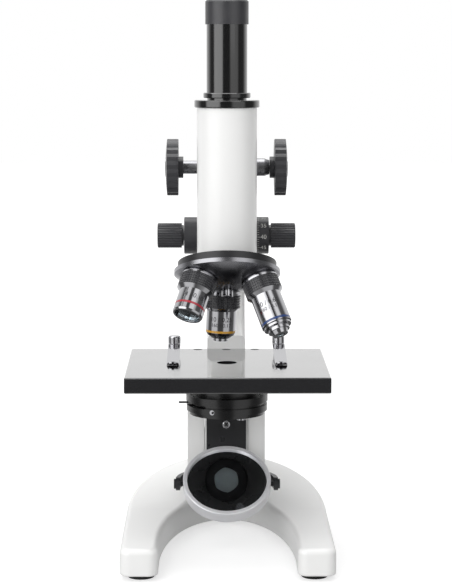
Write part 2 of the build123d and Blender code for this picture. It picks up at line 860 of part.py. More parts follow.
def make_mirror_frame():
    """Rim with a web across its middle, open on both sides for the glasses."""
    rim = Cylinder(mirror_diameter / 2, mirror_thickness)
    rim = fillet(rim.edges().filter_by(GeomType.CIRCLE), mirror_lip)
    depth = mirror_glass_recess + mirror_glass_thickness
    for side in (-1, 1):
        middle = side * (mirror_thickness - depth) / 2
        rim -= Pos(0, 0, middle) * Cylinder(mirror_glass_diameter / 2, depth)
        hole_depth = 2 * (pivot_screw_depth + slide_clearance)
        hole = Rot(0, 90, 0) * Cylinder(pivot_screw_diameter / 2 + running_clearance, hole_depth)
        rim -= Pos(side * mirror_diameter / 2, 0, 0) * hole
    return tilted(rim)


def make_mirror_glass(side):
    """Plane glass on the upper side, a hollowed one below."""
    middle = side * (mirror_thickness / 2 - mirror_glass_recess - mirror_glass_thickness / 2)
    glass = Pos(0, 0, middle) * Cylinder(mirror_glass_diameter / 2 - seat_clearance, mirror_glass_thickness)
    if side < 0:
        face = -(mirror_thickness / 2 - mirror_glass_recess)
        radius = mirror_glass_diameter / 2 - mirror_lip
        sag = mirror_glass_thickness / 2
        ball = (radius ** 2 + sag ** 2) / (2 * sag)
        glass -= Pos(0, 0, face + sag - ball) * Sphere(ball)
    return tilted(glass)


def make_focus_carriage():
    """Block that slides on the arm and guides the tube, with a bearing for the pinion shaft."""
    front = axis_y + carriage_front
    back = axis_y + guide_front - slide_clearance
    body = block(-carriage_width / 2, carriage_width / 2, front, back, carriage_bottom, carriage_top)
    body += Pos(0, 0, carriage_bottom) * extrude(rib_plan(0), carriage_top - carriage_bottom)
    body -= extrude(slide_plan(slide_clearance), head_top)
    rack_side = rack_width / 2 + body_gap
    root = rack_pitch_line + gear_module + body_gap
    body -= block(-rack_side, rack_side, front, axis_y + root, carriage_bottom - 1, carriage_top + 1)
    room = gear_module * (pinion_teeth / 2 + 1) + body_gap
    inner = pinion_width / 2 + 4 * body_gap
    body -= crosswise(room, -inner, inner, coarse_y, coarse_axis_height)
    left_bore = coarse_shaft_diameter / 2 + running_clearance
    right_bore = coarse_core_diameter / 2 + running_clearance
    body -= crosswise(left_bore, -carriage_width, 0, coarse_y, coarse_axis_height)
    body -= crosswise(right_bore, 0, carriage_width, coarse_y, coarse_axis_height)
    foot_half = foot_length / 2
    foot_front = axis_y + wedge_front + slide_clearance
    foot_back = axis_y + wedge_back - slide_clearance
    base_z = wedge_middle + wedge_foot_gap
    foot = Polyline(
        (-foot_half, foot_front, base_z + wedge_slope * foot_half),
        (foot_half, foot_front, base_z - wedge_slope * foot_half),
        (foot_half, foot_front, carriage_bottom),
        (-foot_half, foot_front, carriage_bottom),
        close=True,
    )
    inside_back = min(foot_back, back + rib_depth)
    body += extrude(make_face(foot), inside_back - foot_front, dir=(0, 1, 0))
    return body


def make_coarse_sleeve():
    """Collar round the pinion shaft on the right, narrowing beside the knob."""
    start = carriage_width / 2
    end = coarse_hub_inner - body_gap
    wide = coarse_sleeve_diameter / 2
    nose = coarse_sleeve_nose / 2
    taper = end - coarse_sleeve_taper
    body = stacked([(wide, wide, start, taper), (wide, nose, taper, end)])
    body = along_x(body, 0, coarse_y, coarse_axis_height)
    bore = coarse_core_diameter / 2 + running_clearance
    return body - crosswise(bore, 0, end + 1, coarse_y, coarse_axis_height)


def make_coarse_shaft():
    core = coarse_core_diameter / 2
    end = coarse_knob_outer - coarse_cap_height
    shaft = crosswise(core, -end, end, coarse_y, coarse_axis_height)
    wide_end = -coarse_hub_inner
    wide = coarse_shaft_diameter / 2
    return shaft + crosswise(wide, wide_end, -coarse_shaft_step, coarse_y, coarse_axis_height)


def involute_half_angle(radius):
    """Half the angle that a pinion tooth fills at a radius."""
    pitch = gear_module * pinion_teeth / 2
    base = pitch * cos(radians(pressure_angle))
    pressure = radians(pressure_angle)
    at_pitch = (pi * gear_module / 4 - gear_backlash) / pitch
    local = acos(min(1, base / max(radius, base)))
    return at_pitch + (tan(pressure) - pressure) - (tan(local) - local)


def make_coarse_pinion():
    pitch = gear_module * pinion_teeth / 2
    root = pitch - gear_module - gear_clearance
    tip = pitch + gear_module
    base = pitch * cos(radians(pressure_angle))
    radii = (root, base, pitch, (pitch + tip) / 2, tip)
    flank = [(r, involute_half_angle(r)) for r in radii]
    points = []
    for tooth in range(pinion_teeth):
        middle = 2 * pi * tooth / pinion_teeth
        points += [(r, middle - a) for r, a in flank]
        points += [(r, middle + a) for r, a in reversed(flank)]
    outline = Polyline(*[(r * cos(a), r * sin(a), -pinion_width / 2) for r, a in points], close=True)
    gear = extrude(make_face(outline), pinion_width, dir=(0, 0, 1))
    gear -= Cylinder(coarse_core_diameter / 2 + seat_clearance, 2 * pinion_width)
    turn_to_rack = Rot(0, 0, 90) if pinion_teeth % 4 else Rot(0, 0, 0)
    return along_x(turn_to_rack * gear, 0, coarse_y, coarse_axis_height)


def make_tube_rack():
    """Rack behind the tube slide; a gap faces the pinion's tooth at rest."""
    pitch = pi * gear_module
    seat = axis_y + tube_slide_back
    line_y = axis_y + rack_pitch_line
    root_y = line_y - gear_module - gear_clearance
    tip_y = line_y + gear_module
    lean_in = tan(radians(pressure_angle))
    half = pitch / 4 - gear_backlash
    first = int((coarse_axis_height - tube_slide_bottom) / pitch) - 1
    last = int((tube_slide_top - coarse_axis_height) / pitch) - 1
    low_end = coarse_axis_height - (first + 1) * pitch
    points = [(seat, low_end), (root_y, low_end)]
    for n in range(-first, last + 1):
        middle = coarse_axis_height + (n - 0.5) * pitch
        wide = half + (line_y - root_y) * lean_in
        narrow = half - (tip_y - line_y) * lean_in
        points += [(root_y, middle - wide), (tip_y, middle - narrow)]
        points += [(tip_y, middle + narrow), (root_y, middle + wide)]
    end = coarse_axis_height + (last + 1) * pitch
    points += [(root_y, end), (seat, end)]
    return side_plate(make_face(Polyline(*points, close=True)), -rack_width / 2, rack_width / 2)


def knob_outline(angle_step):
    radius = coarse_knob_diameter / 2 - coarse_knob_scallop_depth / 2
    return radius + coarse_knob_scallop_depth / 2 * cos(coarse_knob_scallops * angle_step)


def make_coarse_knob(side):
    """Scalloped wheel with a shallow dome outside and a hub inside."""
    count = 4 * coarse_knob_scallops
    ring = [(knob_outline(2 * pi * n / count), 2 * pi * n / count) for n in range(count)]
    outline = Polyline(*[(r * cos(a), r * sin(a), 0) for r, a in ring], close=True)
    wheel = extrude(make_face(outline), coarse_knob_width, dir=(0, 0, 1))
    ball = ((coarse_knob_diameter / 2) ** 2 + coarse_knob_dome ** 2) / (2 * coarse_knob_dome)
    wheel &= Pos(0, 0, coarse_knob_width - ball) * Sphere(ball)
    wheel += Pos(0, 0, -coarse_hub_width / 2) * Cylinder(coarse_hub_diameter / 2, coarse_hub_width)
    cap_room = coarse_cap_diameter / 2 + seat_clearance
    wheel -= Pos(0, 0, coarse_knob_width) * Cylinder(cap_room, 2 * coarse_cap_height)
    wheel -= Cylinder(coarse_core_diameter / 2 + seat_clearance, 4 * coarse_knob_width)
    return Pos(side * coarse_knob_inner, coarse_y, coarse_axis_height) * Rot(0, side * 90, 0) * wheel


def make_coarse_knob_caps():
    caps = Part()
    for side in (-1, 1):
        inner = coarse_knob_outer - coarse_cap_height
        cap = Pos(0, 0, coarse_cap_height / 2) * Cylinder(coarse_cap_diameter / 2, coarse_cap_height)
        cap += dome(coarse_cap_diameter / 2, coarse_cap_height / 2, coarse_cap_height)
        caps += Pos(side * inner, coarse_y, coarse_axis_height) * Rot(0, side * 90, 0) * cap
    return caps


def make_fine_shaft():
    end = fine_knob_outer - fine_knob_neck
    return crosswise(fine_shaft_diameter / 2, -end, end, fine_y, fine_axis_height)


def make_fine_drum(side):
    left, right = sorted((side * drum_inner, side * drum_outer))
    drum = crosswise(fine_drum_diameter / 2, left, right, fine_y, fine_axis_height)
    drum = chamfer(drum.edges().filter_by(GeomType.CIRCLE), fine_knob_chamfer / 2)
    bore = fine_shaft_diameter / 2 + seat_clearance
    return drum - crosswise(bore, left - 1, right + 1, fine_y, fine_axis_height)


def make_fine_knob(side):
    """Knurled barrel with a neck beside the drum."""
    radius = fine_knob_diameter / 2
    neck = fine_knob_neck_diameter / 2
    grip = fluted(radius, fine_knob_knurl_depth, fine_knob_knurls, fine_knob_neck, fine_knob_length)
    bevel = fine_knob_length - fine_knob_chamfer
    end_radius = radius - fine_knob_chamfer
    grip &= stacked([(radius, radius, 0, bevel), (radius, end_radius, bevel, fine_knob_length)])
    knob = grip + Pos(0, 0, fine_knob_neck / 2) * Cylinder(neck, fine_knob_neck)
    bore_end = fine_knob_length - fine_knob_neck
    knob -= Pos(0, 0, bore_end / 2) * Cylinder(fine_shaft_diameter / 2 + seat_clearance, bore_end)
    return Pos(side * fine_knob_inner, fine_y, fine_axis_height) * Rot(0, side * 90, 0) * knob


def make_fine_wedge():
    """Nut with a sloping top; the screw draws it sideways under the carriage's foot."""
    half = wedge_length / 2
    front = axis_y + wedge_front + slide_clearance
    outline = Polyline(
        (-half, front, wedge_floor + slide_clearance),
        (half, front, wedge_floor + slide_clearance),
        (half, front, wedge_middle - wedge_slope * half),
        (-half, front, wedge_middle + wedge_slope * half),
        close=True,
    )
    body = extrude(make_face(outline), wedge_back - wedge_front - 2 * slide_clearance, dir=(0, 1, 0))
    bore = fine_shaft_diameter / 2 + running_clearance
    return body - crosswise(bore, -half - 1, half + 1, fine_y, fine_axis_height)


def make_body_tube():
    """Main tube, cut square to the nosepiece axis at its lower end."""
    tube = upright(tube_diameter / 2, stage_top, tube_top)
    reach = 2 * (tube_top - stage_top)
    end = turret_plane * Pos(0, 0, plate_start + reach / 2) * Box(reach, reach, reach)
    return tube - end - upright(tube_bore / 2, stage_top - 1, tube_top + 1)


def make_tube_slide():
    length = tube_slide_top - tube_slide_bottom
    slide = Pos(0, 0, tube_slide_bottom) * extrude(slide_plan(0), length)
    return slide - upright(tube_diameter / 2 + seat_clearance, tube_slide_bottom - 1, tube_slide_top + 1)


def make_tube_collar():
    collar = upright(collar_diameter / 2, tube_top, tube_top + collar_height)
    collar = fillet(collar.edges().filter_by(GeomType.CIRCLE), collar_round)
    bore = draw_neck_diameter / 2 + seat_clearance
    return collar - upright(bore, tube_top - 1, tube_top + collar_height + 1)


def make_draw_tube():
    tube = upright(draw_neck_diameter / 2, tube_top, draw_flange_bottom)
    flange = upright(draw_flange_diameter / 2, draw_flange_bottom, draw_flange_top)
    tube += chamfer(flange.edges().filter_by(GeomType.CIRCLE), collar_round / 2)
    tube += upright(draw_tube_diameter / 2, draw_flange_top, draw_tube_top)
    return tube - upright(draw_tube_bore / 2, tube_top - 1, draw_tube_top + 1)


def make_eyepiece_barrel():
    radius = draw_tube_bore / 2 - running_clearance
    low = draw_tube_top - eyepiece_barrel_length
    high = draw_tube_top + eyepiece_cap_wall
    barrel = upright(radius, low, high)
    barrel -= upright(radius - eyepiece_wall, low + field_lens_thickness + lens_ledge, high + 1)
    lens_room = field_lens_diameter / 2 + seat_clearance
    barrel -= upright(lens_room, low - 1, low + field_lens_thickness + lens_ledge)
    return barrel


def make_eyepiece_cap():
    """Eyecup: straight skirt, rounded shoulder and a dished top round the eye lens."""
    outer = eyepiece_cap_diameter / 2
    high = eye_seat + eyepiece_cap_height
    shoulder = high - eyepiece_cap_shoulder
    cap = stacked([(outer, outer, eye_seat, shoulder), (outer, eyepiece_cap_face / 2, shoulder, high)])
    cup_low = high - eyepiece_cup_depth
    cap -= stacked([(eyepiece_cup_diameter / 2 - 0.5, eyepiece_cup_diameter / 2 + 1, cup_low, high + 0.01)])
    barrel_room = draw_tube_bore / 2 - running_clearance + seat_clearance
    cap -= Pos(0, 0, eye_seat) * Pos(0, 0, eyepiece_cap_wall / 2) * Cylinder(barrel_room, eyepiece_cap_wall)
    inside = draw_tube_bore / 2 - eyepiece_wall - running_clearance
    lens_low = cup_low - eye_lens_thickness - lens_ledge
    cap -= Pos(0, 0, (eye_seat + lens_low) / 2) * Cylinder(inside, lens_low - eye_seat)
    lens_room = eye_lens_diameter / 2 + seat_clearance
    cap -= Pos(0, 0, (lens_low + cup_low) / 2) * Cylinder(lens_room, cup_low - lens_low + 1)
    return Pos(0, axis_y, 0) * cap


def make_eyepiece_lenses():
    high = eye_seat + eyepiece_cap_height - eyepiece_cup_depth - lens_ledge
    low = high - eye_lens_thickness
    place = Pos(0, axis_y, 0)
    radius = eye_lens_diameter / 2
    eye = upright(radius, low, high) + place * dome(radius, eye_lens_crown, high)
    low = draw_tube_top - eyepiece_barrel_length + lens_ledge
    high = low + field_lens_thickness - field_lens_crown
    radius = field_lens_diameter / 2
    field = upright(radius, low, high) + place * dome(radius, field_lens_crown, high)
    return Part() + eye + field


def lobe_offset(distance):
    """Where the optical axis crosses a plane square to the nosepiece axis."""
    return -distance * tan(lean)


def make_nosepiece_plate():
    """Fixed plate with a rounded lobe round the light path."""
    middle = plate_start + plate_thickness / 2
    plate = Pos(0, 0, middle) * Cylinder(plate_diameter / 2, plate_thickness)
    plate += Pos(0, lobe_offset(middle), middle) * Cylinder(lobe_diameter / 2, plate_thickness)
    plate -= Pos(0, 0, middle) * Cylinder(nose_bolt_diameter / 2 + seat_clearance, 2 * plate_thickness)
    pocket = click_spring_length + click_ball_diameter * 0.6
    end = plate_start + plate_thickness
    room = click_ball_diameter / 2 + running_clearance
    plate -= Pos(click_circle / 2, 0, end - pocket / 2) * Cylinder(room, pocket)
    plate = turret_plane * plate
    return plate - upright(light_bore / 2, stage_top, apex_height)


def make_nosepiece_bolt():
    low = plate_start + body_gap
    high = turret_ball_radius + body_gap
    bolt = Pos(0, 0, (low + high) / 2) * Cylinder(nose_bolt_diameter / 2, high - low)
    head = Pos(0, 0, high + nose_bolt_head_height / 2) * Cylinder(nose_bolt_head / 2, nose_bolt_head_height)
    head = fillet(head.edges().sort_by(Axis.Z)[-1], nose_bolt_head_height / 5)
    return turret_plane * (bolt + head)


def make_nosepiece_click():
    """Ball and spring pad in the plate's pocket; the ball drops in a dimple at each objective."""
    ball_low = plate_start + plate_thickness + turret_gap - seat_clearance
    ball = Pos(click_circle / 2, 0, ball_low - click_ball_diameter / 2) * Sphere(click_ball_diameter / 2)
    pad_high = ball_low - click_ball_diameter * 0.95
    low = plate_start + plate_thickness - click_spring_length - click_ball_diameter * 0.6
    pad = Pos(click_circle / 2, 0, (low + pad_high) / 2) * Cylinder(click_spring_diameter / 2, pad_high - low)
    return turret_plane * (ball + pad)


def turned_to(shape, number):
    """Turn a piece from the optical axis to its place on the parked turret."""
    return shape.rotate(turret_axis, turret_park_angle + number * 360 / objective_count)


def make_turret_dish():
    height = turret_ball_radius - turret_start
    dish = Pos(0, 0, turret_start + height / 2) * Cylinder(turret_diameter / 2, height)
    dish &= Sphere(turret_ball_radius)
    dish -= Pos(0, 0, turret_start) * Cylinder(nose_bolt_diameter / 2 + running_clearance, 4 * height)
    start = radians(turret_park_angle)
    dish = turret_plane * dish
    seat = objective_plane * Pos(0, 0, objective_shoulder + 2) * Cylinder(objective_neck / 2 + body_gap, 4)
    thread = Cylinder(objective_thread / 2 + seat_clearance, 4 * height)
    hole = objective_plane * Pos(0, 0, objective_shoulder) * thread
    dimple_low = turret_start - click_ball_diameter / 2 + dimple_depth
    for number in range(objective_count):
        dish -= turned_to(seat, number)
        dish -= turned_to(hole, number)
        angle = start + 2 * pi * number / objective_count
        place = Pos(click_circle / 2 * cos(angle), click_circle / 2 * sin(angle), dimple_low)
        dish -= turret_plane * place * Sphere(click_ball_diameter / 2)
    return dish


def grip_start():
    return objective_shoulder + objective_neck_length + objective_washer_thickness


def make_objective(number, barrel_length, nose):
    """Threaded neck, washer, core, barrel with a groove for its colour band, and nose steps."""
    neck = objective_neck / 2
    barrel = objective_barrel / 2
    shoulder = objective_shoulder + seat_clearance
    washer = objective_shoulder + objective_neck_length
    grip = grip_start()
    grip_end = grip + objective_grip_length
    bevel_end = grip_end + objective_bevel
    band = bevel_end + barrel_length
    core = barrel - seat_clearance
    levels = [
        (objective_thread / 2, objective_thread / 2, thread_start, shoulder),
        (neck, neck, shoulder, washer),
        (objective_washer / 2, objective_washer / 2, washer, grip),
        (core, core, grip, grip_end),
        (objective_grip / 2, barrel, grip_end, bevel_end),
        (barrel, barrel, bevel_end, band),
        (barrel - band_groove, barrel - band_groove, band, band + band_length),
    ]
    start = band + band_length
    for low_radius, high_radius, length in nose:
        levels.append((low_radius, high_radius, start, start + length))
        start += length
    body = stacked(levels)
    bore_start = thread_start - 1
    body -= Pos(0, 0, (bore_start + band) / 2) * Cylinder(objective_bore / 2, band - bore_start)
    return body, start


def finish_objective(body, tip, mouth_radius, mouth_depth, number):
    body -= Pos(0, 0, tip - mouth_depth / 2) * Cylinder(mouth_radius, mouth_depth)
    light = tip - objective_shoulder
    body -= Pos(0, 0, tip - light / 2) * Cylinder(min(mouth_radius, objective_bore / 2) - body_gap, light)
    return turned_to(objective_plane * body, number)


def nose_4x():
    return [(objective_barrel / 2, objective_barrel / 2, nose_length_4x - 1),
            (objective_barrel / 2, tip_diameter_4x / 2, 1)]


def nose_10x():
    step = nose_length_10x / 3
    wide = objective_barrel
    tip = tip_diameter_10x
    return [(wide / 2, wide * 0.44, step), (wide * 0.42, tip * 0.62, step), (tip / 2, tip / 2, step)]


def nose_40x():
    step = nose_length_40x / 6
    wide = objective_barrel
    tip = tip_diameter_40x
    rings = [(wide / 2, wide / 2, step / 2), (wide * 0.42, wide * 0.42, step / 2)]
    rings += [(wide * 0.46, wide * 0.46, step), (wide * 0.36, wide * 0.36, 2 * step)]
    return rings + [(tip * 0.58, tip / 2, 2 * step)]


def make_objective_4x():
    body, tip = make_objective(-1, barrel_length_4x, nose_4x())
    return finish_objective(body, tip, mouth_diameter_4x / 2, mouth_depth_4x, -1)


def make_objective_10x():
    body, tip = make_objective(0, barrel_length_10x, nose_10x())
    return finish_objective(body, tip, tip_diameter_10x / 2 * front_lens_share, nose_length_10x / 4, 0)


def make_objective_40x():
    body, tip = make_objective(1, barrel_length_40x, nose_40x())
    return finish_objective(body, tip, tip_diameter_40x / 2 * front_lens_share, nose_length_40x / 8, 1)


def make_objective_grips():
    grips = Part()
    low = grip_start() + seat_clearance
    high = grip_start() + objective_grip_length - seat_clearance
    sleeve = fluted(objective_grip / 2, objective_grip_depth, objective_grip_flutes, low, high)
    sleeve -= Pos(0, 0, (low + high) / 2) * Cylinder(objective_barrel / 2, 2 * objective_grip_length)
    for number in range(objective_count):
        grips += turned_to(objective_plane * sleeve, number)
    return grips


def make_objective_lenses():
    """Front lens of each objective, seated at the bottom of its mouth."""
    start = grip_start() + objective_grip_length + objective_bevel + band_length
    tips = (
        (0, start + barrel_length_10x + nose_length_10x * 3 / 4, tip_diameter_10x / 2 * front_lens_share),
        (1, start + barrel_length_40x + nose_length_40x * 7 / 8, tip_diameter_40x / 2 * front_lens_share),
        (-1, start + barrel_length_4x + nose_length_4x - mouth_depth_4x, mouth_diameter_4x / 2),
    )
    lenses = Part()
    for number, face, radius in tips:
        thickness = radius / 4
        lens = Pos(0, 0, face + thickness / 2) * Cylinder(radius - seat_clearance, thickness)
        lenses += turned_to(objective_plane * lens, number)
    return lenses


pieces = {
    "base_casting": make_base_casting(),
    "rubber_feet": make_rubber_feet(),
    "inclination_axle": make_inclination_axle(),
    "inclination_screws": make_inclination_screws(),
    "limb_casting": make_limb_casting(),
    "mirror_bar": make_mirror_bar(),
    "mirror_bar_screw": make_mirror_bar_screw(),
    "stage_plate": make_stage_plate(),
    "stage_screws": make_stage_screws(),
    "clip_posts": make_clip_posts(),
    "clip_left": make_clip(-1),
    "clip_right": make_clip(1),
    "condenser_mount": make_condenser_mount(),
    "condenser_lens": make_condenser_lens(),
    "iris_housing": make_iris_housing(),
    "iris_screw": iris_screw_shape(0),
    "iris_ring": make_iris_ring(),
    "filter_pivot_screw": make_filter_pivot_screw(),
    "filter_ring": make_filter_ring(),
    "mirror_fork": make_mirror_fork(),
    "mirror_pivot_screws": make_mirror_pivot_screws(),
    "mirror_frame": make_mirror_frame(),
    "mirror_flat_glass": make_mirror_glass(1),
    "mirror_concave_glass": make_mirror_glass(-1),
    "focus_carriage": make_focus_carriage(),
    "coarse_sleeve": make_coarse_sleeve(),
    "coarse_shaft": make_coarse_shaft(),
    "coarse_pinion": make_coarse_pinion(),
    "coarse_knob_left": make_coarse_knob(-1),
    "coarse_knob_right": make_coarse_knob(1),
    "coarse_knob_caps": make_coarse_knob_caps(),
    "fine_shaft": make_fine_shaft(),
    "fine_drum_left": make_fine_drum(-1),
    "fine_drum_right": make_fine_drum(1),
    "fine_knob_left": make_fine_knob(-1),
    "fine_knob_right": make_fine_knob(1),
    "fine_wedge": make_fine_wedge(),
    "body_tube": make_body_tube(),
    "tube_slide": make_tube_slide(),
    "tube_rack": make_tube_rack(),
    "tube_collar": make_tube_collar(),
    "draw_tube": make_draw_tube(),
    "nosepiece_plate": make_nosepiece_plate(),
    "nosepiece_bolt": make_nosepiece_bolt(),
    "nosepiece_click": make_nosepiece_click(),
    "turret_dish": make_turret_dish(),
    "objective_4x": make_objective_4x(),
    "objective_10x": make_objective_10x(),
    "objective_40x": make_objective_40x(),
    "objective_grips": make_objective_grips(),
    "objective_lenses": make_objective_lenses(),
    "eyepiece_cap": make_eyepiece_cap(),
    "eyepiece_barrel": make_eyepiece_barrel(),
    "eyepiece_lenses": make_eyepiece_lenses(),
}
for number in range(iris_blade_count):
    pieces[f"iris_blade_{number + 1}"] = make_iris_blade(number)

for name, piece in pieces.items():
    export_step(piece, f"parts/{name}.step")
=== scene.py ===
"""Looks of a compound microscope, laid out as a Blender add-on and run as a script."""

import json
import math

import bpy
from mathutils import Matrix, Vector


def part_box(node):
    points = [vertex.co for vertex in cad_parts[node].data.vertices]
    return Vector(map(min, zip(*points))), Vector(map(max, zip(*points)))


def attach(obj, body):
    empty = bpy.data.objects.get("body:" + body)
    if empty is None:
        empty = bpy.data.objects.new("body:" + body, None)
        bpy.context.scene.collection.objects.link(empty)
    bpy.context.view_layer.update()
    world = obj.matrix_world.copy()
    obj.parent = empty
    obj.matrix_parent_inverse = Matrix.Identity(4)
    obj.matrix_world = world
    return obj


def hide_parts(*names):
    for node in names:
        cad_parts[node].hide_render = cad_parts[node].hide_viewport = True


bl_info = {
    "name": "Compound microscope",
    "version": (1, 0, 0),
    "blender": (4, 5, 0),
    "location": "3D View > Sidebar > Microscope",
    "description": "Finishes, scales and small fittings of a compound microscope",
    "category": "Add Mesh",
}

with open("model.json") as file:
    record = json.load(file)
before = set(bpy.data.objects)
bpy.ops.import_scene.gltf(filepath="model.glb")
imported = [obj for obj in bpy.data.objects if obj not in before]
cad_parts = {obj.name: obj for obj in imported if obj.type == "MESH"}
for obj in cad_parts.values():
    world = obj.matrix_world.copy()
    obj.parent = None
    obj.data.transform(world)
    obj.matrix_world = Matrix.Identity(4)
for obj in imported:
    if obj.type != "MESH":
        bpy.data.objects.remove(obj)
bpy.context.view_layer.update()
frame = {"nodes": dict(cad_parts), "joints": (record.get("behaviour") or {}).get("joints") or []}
MM = 0.001


def joint_named(name):
    return next(joint for joint in frame["joints"] if joint["name"] == name)


nosepiece = joint_named("nosepiece_turn")
apex = Vector(nosepiece["pos_m"])
nose_axis = Vector(nosepiece["axis"]).normalized()
axis_y = apex.y
drum_centre = Vector(joint_named("fine_knobs")["pos_m"])
DOWN = Vector((0, 0, -1))
USER_SIDE = Vector((0, -1, 0))

# Power of each objective, and its place in thirds of a turn from the optical axis
OBJECTIVES = (("4x", -1), ("10x", 0), ("40x", 1))


def srgb(code):
    """Linear colour of an sRGB hex value."""
    channels = [int(code[n:n + 2], 16) / 255 for n in (1, 3, 5)]
    linear = [c / 12.92 if c <= 0.04045 else ((c + 0.055) / 1.055) ** 2.4 for c in channels]
    return (*linear, 1.0)


def colour(name, code, text):
    return bpy.props.FloatVectorProperty(name=name, description=text, subtype="COLOR", size=4,
                                         default=srgb(code), min=0, max=1)


def length(name, millimetres, text):
    return bpy.props.FloatProperty(name=name, description=text, default=millimetres * MM,
                                   unit="LENGTH", subtype="DISTANCE", precision=5)


def number(name, value, text, **more):
    return bpy.props.FloatProperty(name=name, description=text, default=value, **more)


def count(name, value, text):
    return bpy.props.IntProperty(name=name, description=text, default=value)


class MicroscopeSizes(bpy.types.PropertyGroup):
    band_radius: length("Band radius", 9.02, "Outer radius of an objective's colour band")
    band_width: length("Band width", 1.3, "Width of an objective's colour band")
    band_start_4x: length("4x band start", 77.12, "Distance of the lowest power's band from the apex")
    band_start_10x: length("10x band start", 80.32, "Distance of the middle power's band from the apex")
    band_start_40x: length("40x band start", 85.12, "Distance of the high power's band from the apex")
    grip_radius: length("Grip radius", 11, "Outer radius of an objective's knurled grip")
    grip_bore: length("Grip bore", 9.08, "Inner radius of an objective's knurled grip")
    grip_start: length("Grip start", 58.56, "Distance of a grip from the apex")
    grip_length: length("Grip length", 7.9, "Length of a grip along its objective")
    knurl_depth: length("Knurl depth", 0.4, "Height of the knurl's blocks")
    knurl_columns: count("Knurl columns", 44, "Blocks round a grip")
    knurl_rows: count("Knurl rows", 5, "Blocks along a grip")
    barrel_radius: length("Barrel radius", 9, "Radius of an objective's barrel")
    figure_height: length("Figure height", 3.9, "Type size of the power engraved on a barrel")
    figures_4x: length("4x figures", 73.2, "Distance of the lowest power's figures from the apex")
    figures_10x: length("10x figures", 73.4, "Distance of the middle power's figures from the apex")
    figures_40x: length("40x figures", 75.0, "Distance of the high power's figures from the apex")
    park_angle: number("Turret park angle", math.radians(-7.5), "How far the turret stands from its click",
                       subtype="ANGLE")
    drum_radius: length("Drum radius", 11.5, "Outer radius of the fine focus drum")
    scale_width: length("Scale width", 7.4, "Width of the drum's visible scale, from its outer rim inwards")
    drum_marks: count("Drum marks", 50, "Graduation lines round the drum")
    front_number: count("Front number", 40, "Number that faces the user")
    tick_width: length("Tick width", 0.22, "Width of a graduation line")
    tick_length: length("Tick length", 1.3, "Length of a short graduation line")
    numeral_height: length("Numeral height", 3.7, "Type size of a number on the drum")
    # A screw's recess is a thin dark piece of painted shade, not a hollow cut into the head
    recess_depth: length("Recess depth", 0.06, "How far a screw's blackened recess stands over its head")
    floor_glow: number("Floor glow", 0.6, "Own light of the floor under the object")
    camera_distance: length("Camera distance", 1157, "Distance of the camera in front of the optical axis")
    camera_height: length("Camera height", 302.6, "Height of the camera over the table")
    camera_left: length("Camera offset", -9.67, "Sideways place of the camera")
    lens: number("Lens", 119.0, "Focal length of the camera, in millimetres")


class MicroscopeColours(bpy.types.PropertyGroup):
    enamel: colour("Enamel", "#EDEDEC", "White baked enamel of the castings")
    black_enamel: colour("Black enamel", "#222224", "Satin black enamel of the substage")
    stage_enamel: colour("Stage enamel", "#1E1E20", "Gloss black enamel of the stage")
    anodised: colour("Black anodising", "#0B0B0C", "Gloss black draw tube")
    plastic: colour("Black plastic", "#38383B", "Moulded knobs and eyecup")
    chrome: colour("Chrome", "#B8B8BB", "Chrome plate")
    satin_chrome: colour("Satin chrome", "#A0A0A4", "Satin chrome of the turret")
    steel: colour("Steel", "#9C9C9F", "Turned steel")
    blued: colour("Blued steel", "#161618", "Iris leaves")
    brass: colour("Brass", "#B8934A", "Machined brass")
    aluminium: colour("Aluminium", "#B9B9BC", "Satin anodised aluminium")
    silver: colour("Silver lacquer", "#DEDEE1", "Frame of the mirror")
    rubber: colour("Rubber", "#161616", "Moulded rubber feet")
    red: colour("Red band", "#A6303C", "Band of the lowest power")
    yellow: colour("Yellow band", "#D09A2C", "Band of the middle power")
    blue: colour("Blue band", "#2B4376", "Band of the high power")
    marking: colour("Marking white", "#C8C8C4", "Paint in the engraved scale")


def sizes():
    return bpy.context.scene.microscope_sizes


def colours():
    return bpy.context.scene.microscope_colours


def add_node(tree, kind, links=(), values=(), **settings):
    """Add a node, set its settings and socket values, and link sockets of other nodes into it."""
    node = tree.nodes.new(kind)
    for key, value in settings.items():
        setattr(node, key, value)
    for socket, value in dict(values).items():
        node.inputs[socket].default_value = value
    for socket, source in dict(links).items():
        tree.links.new(source, node.inputs[socket])
    return node


def new_material(name):
    """A material holding only its output node and the tree."""
    material = bpy.data.materials.new(name)
    material.use_nodes = True
    tree = material.node_tree
    tree.nodes.clear()
    output = add_node(tree, "ShaderNodeOutputMaterial")
    return material, tree, output


def object_pattern(tree, pivot, turn, stretch):
    """Object coordinates, centred and turned on a piece."""
    coords = add_node(tree, "ShaderNodeTexCoord")
    return add_node(tree, "ShaderNodeMapping", {"Vector": coords.outputs["Object"]},
                    {"Location": pivot, "Rotation": turn, "Scale": stretch}, vector_type="TEXTURE")


def per_mm(millimetres):
    """Noise scale whose features are about that many millimetres wide."""
    return 1 / (millimetres * MM)


# A surface's clouds are this many grains wide, and its colour and roughness run between these noise values
CLOUD_GRAINS = 18
COLOUR_CLOUDS = (0.3, 0.65)
ROUGH_CLOUDS = (0.3, 0.7)
BUMP_STRENGTH = 0.35


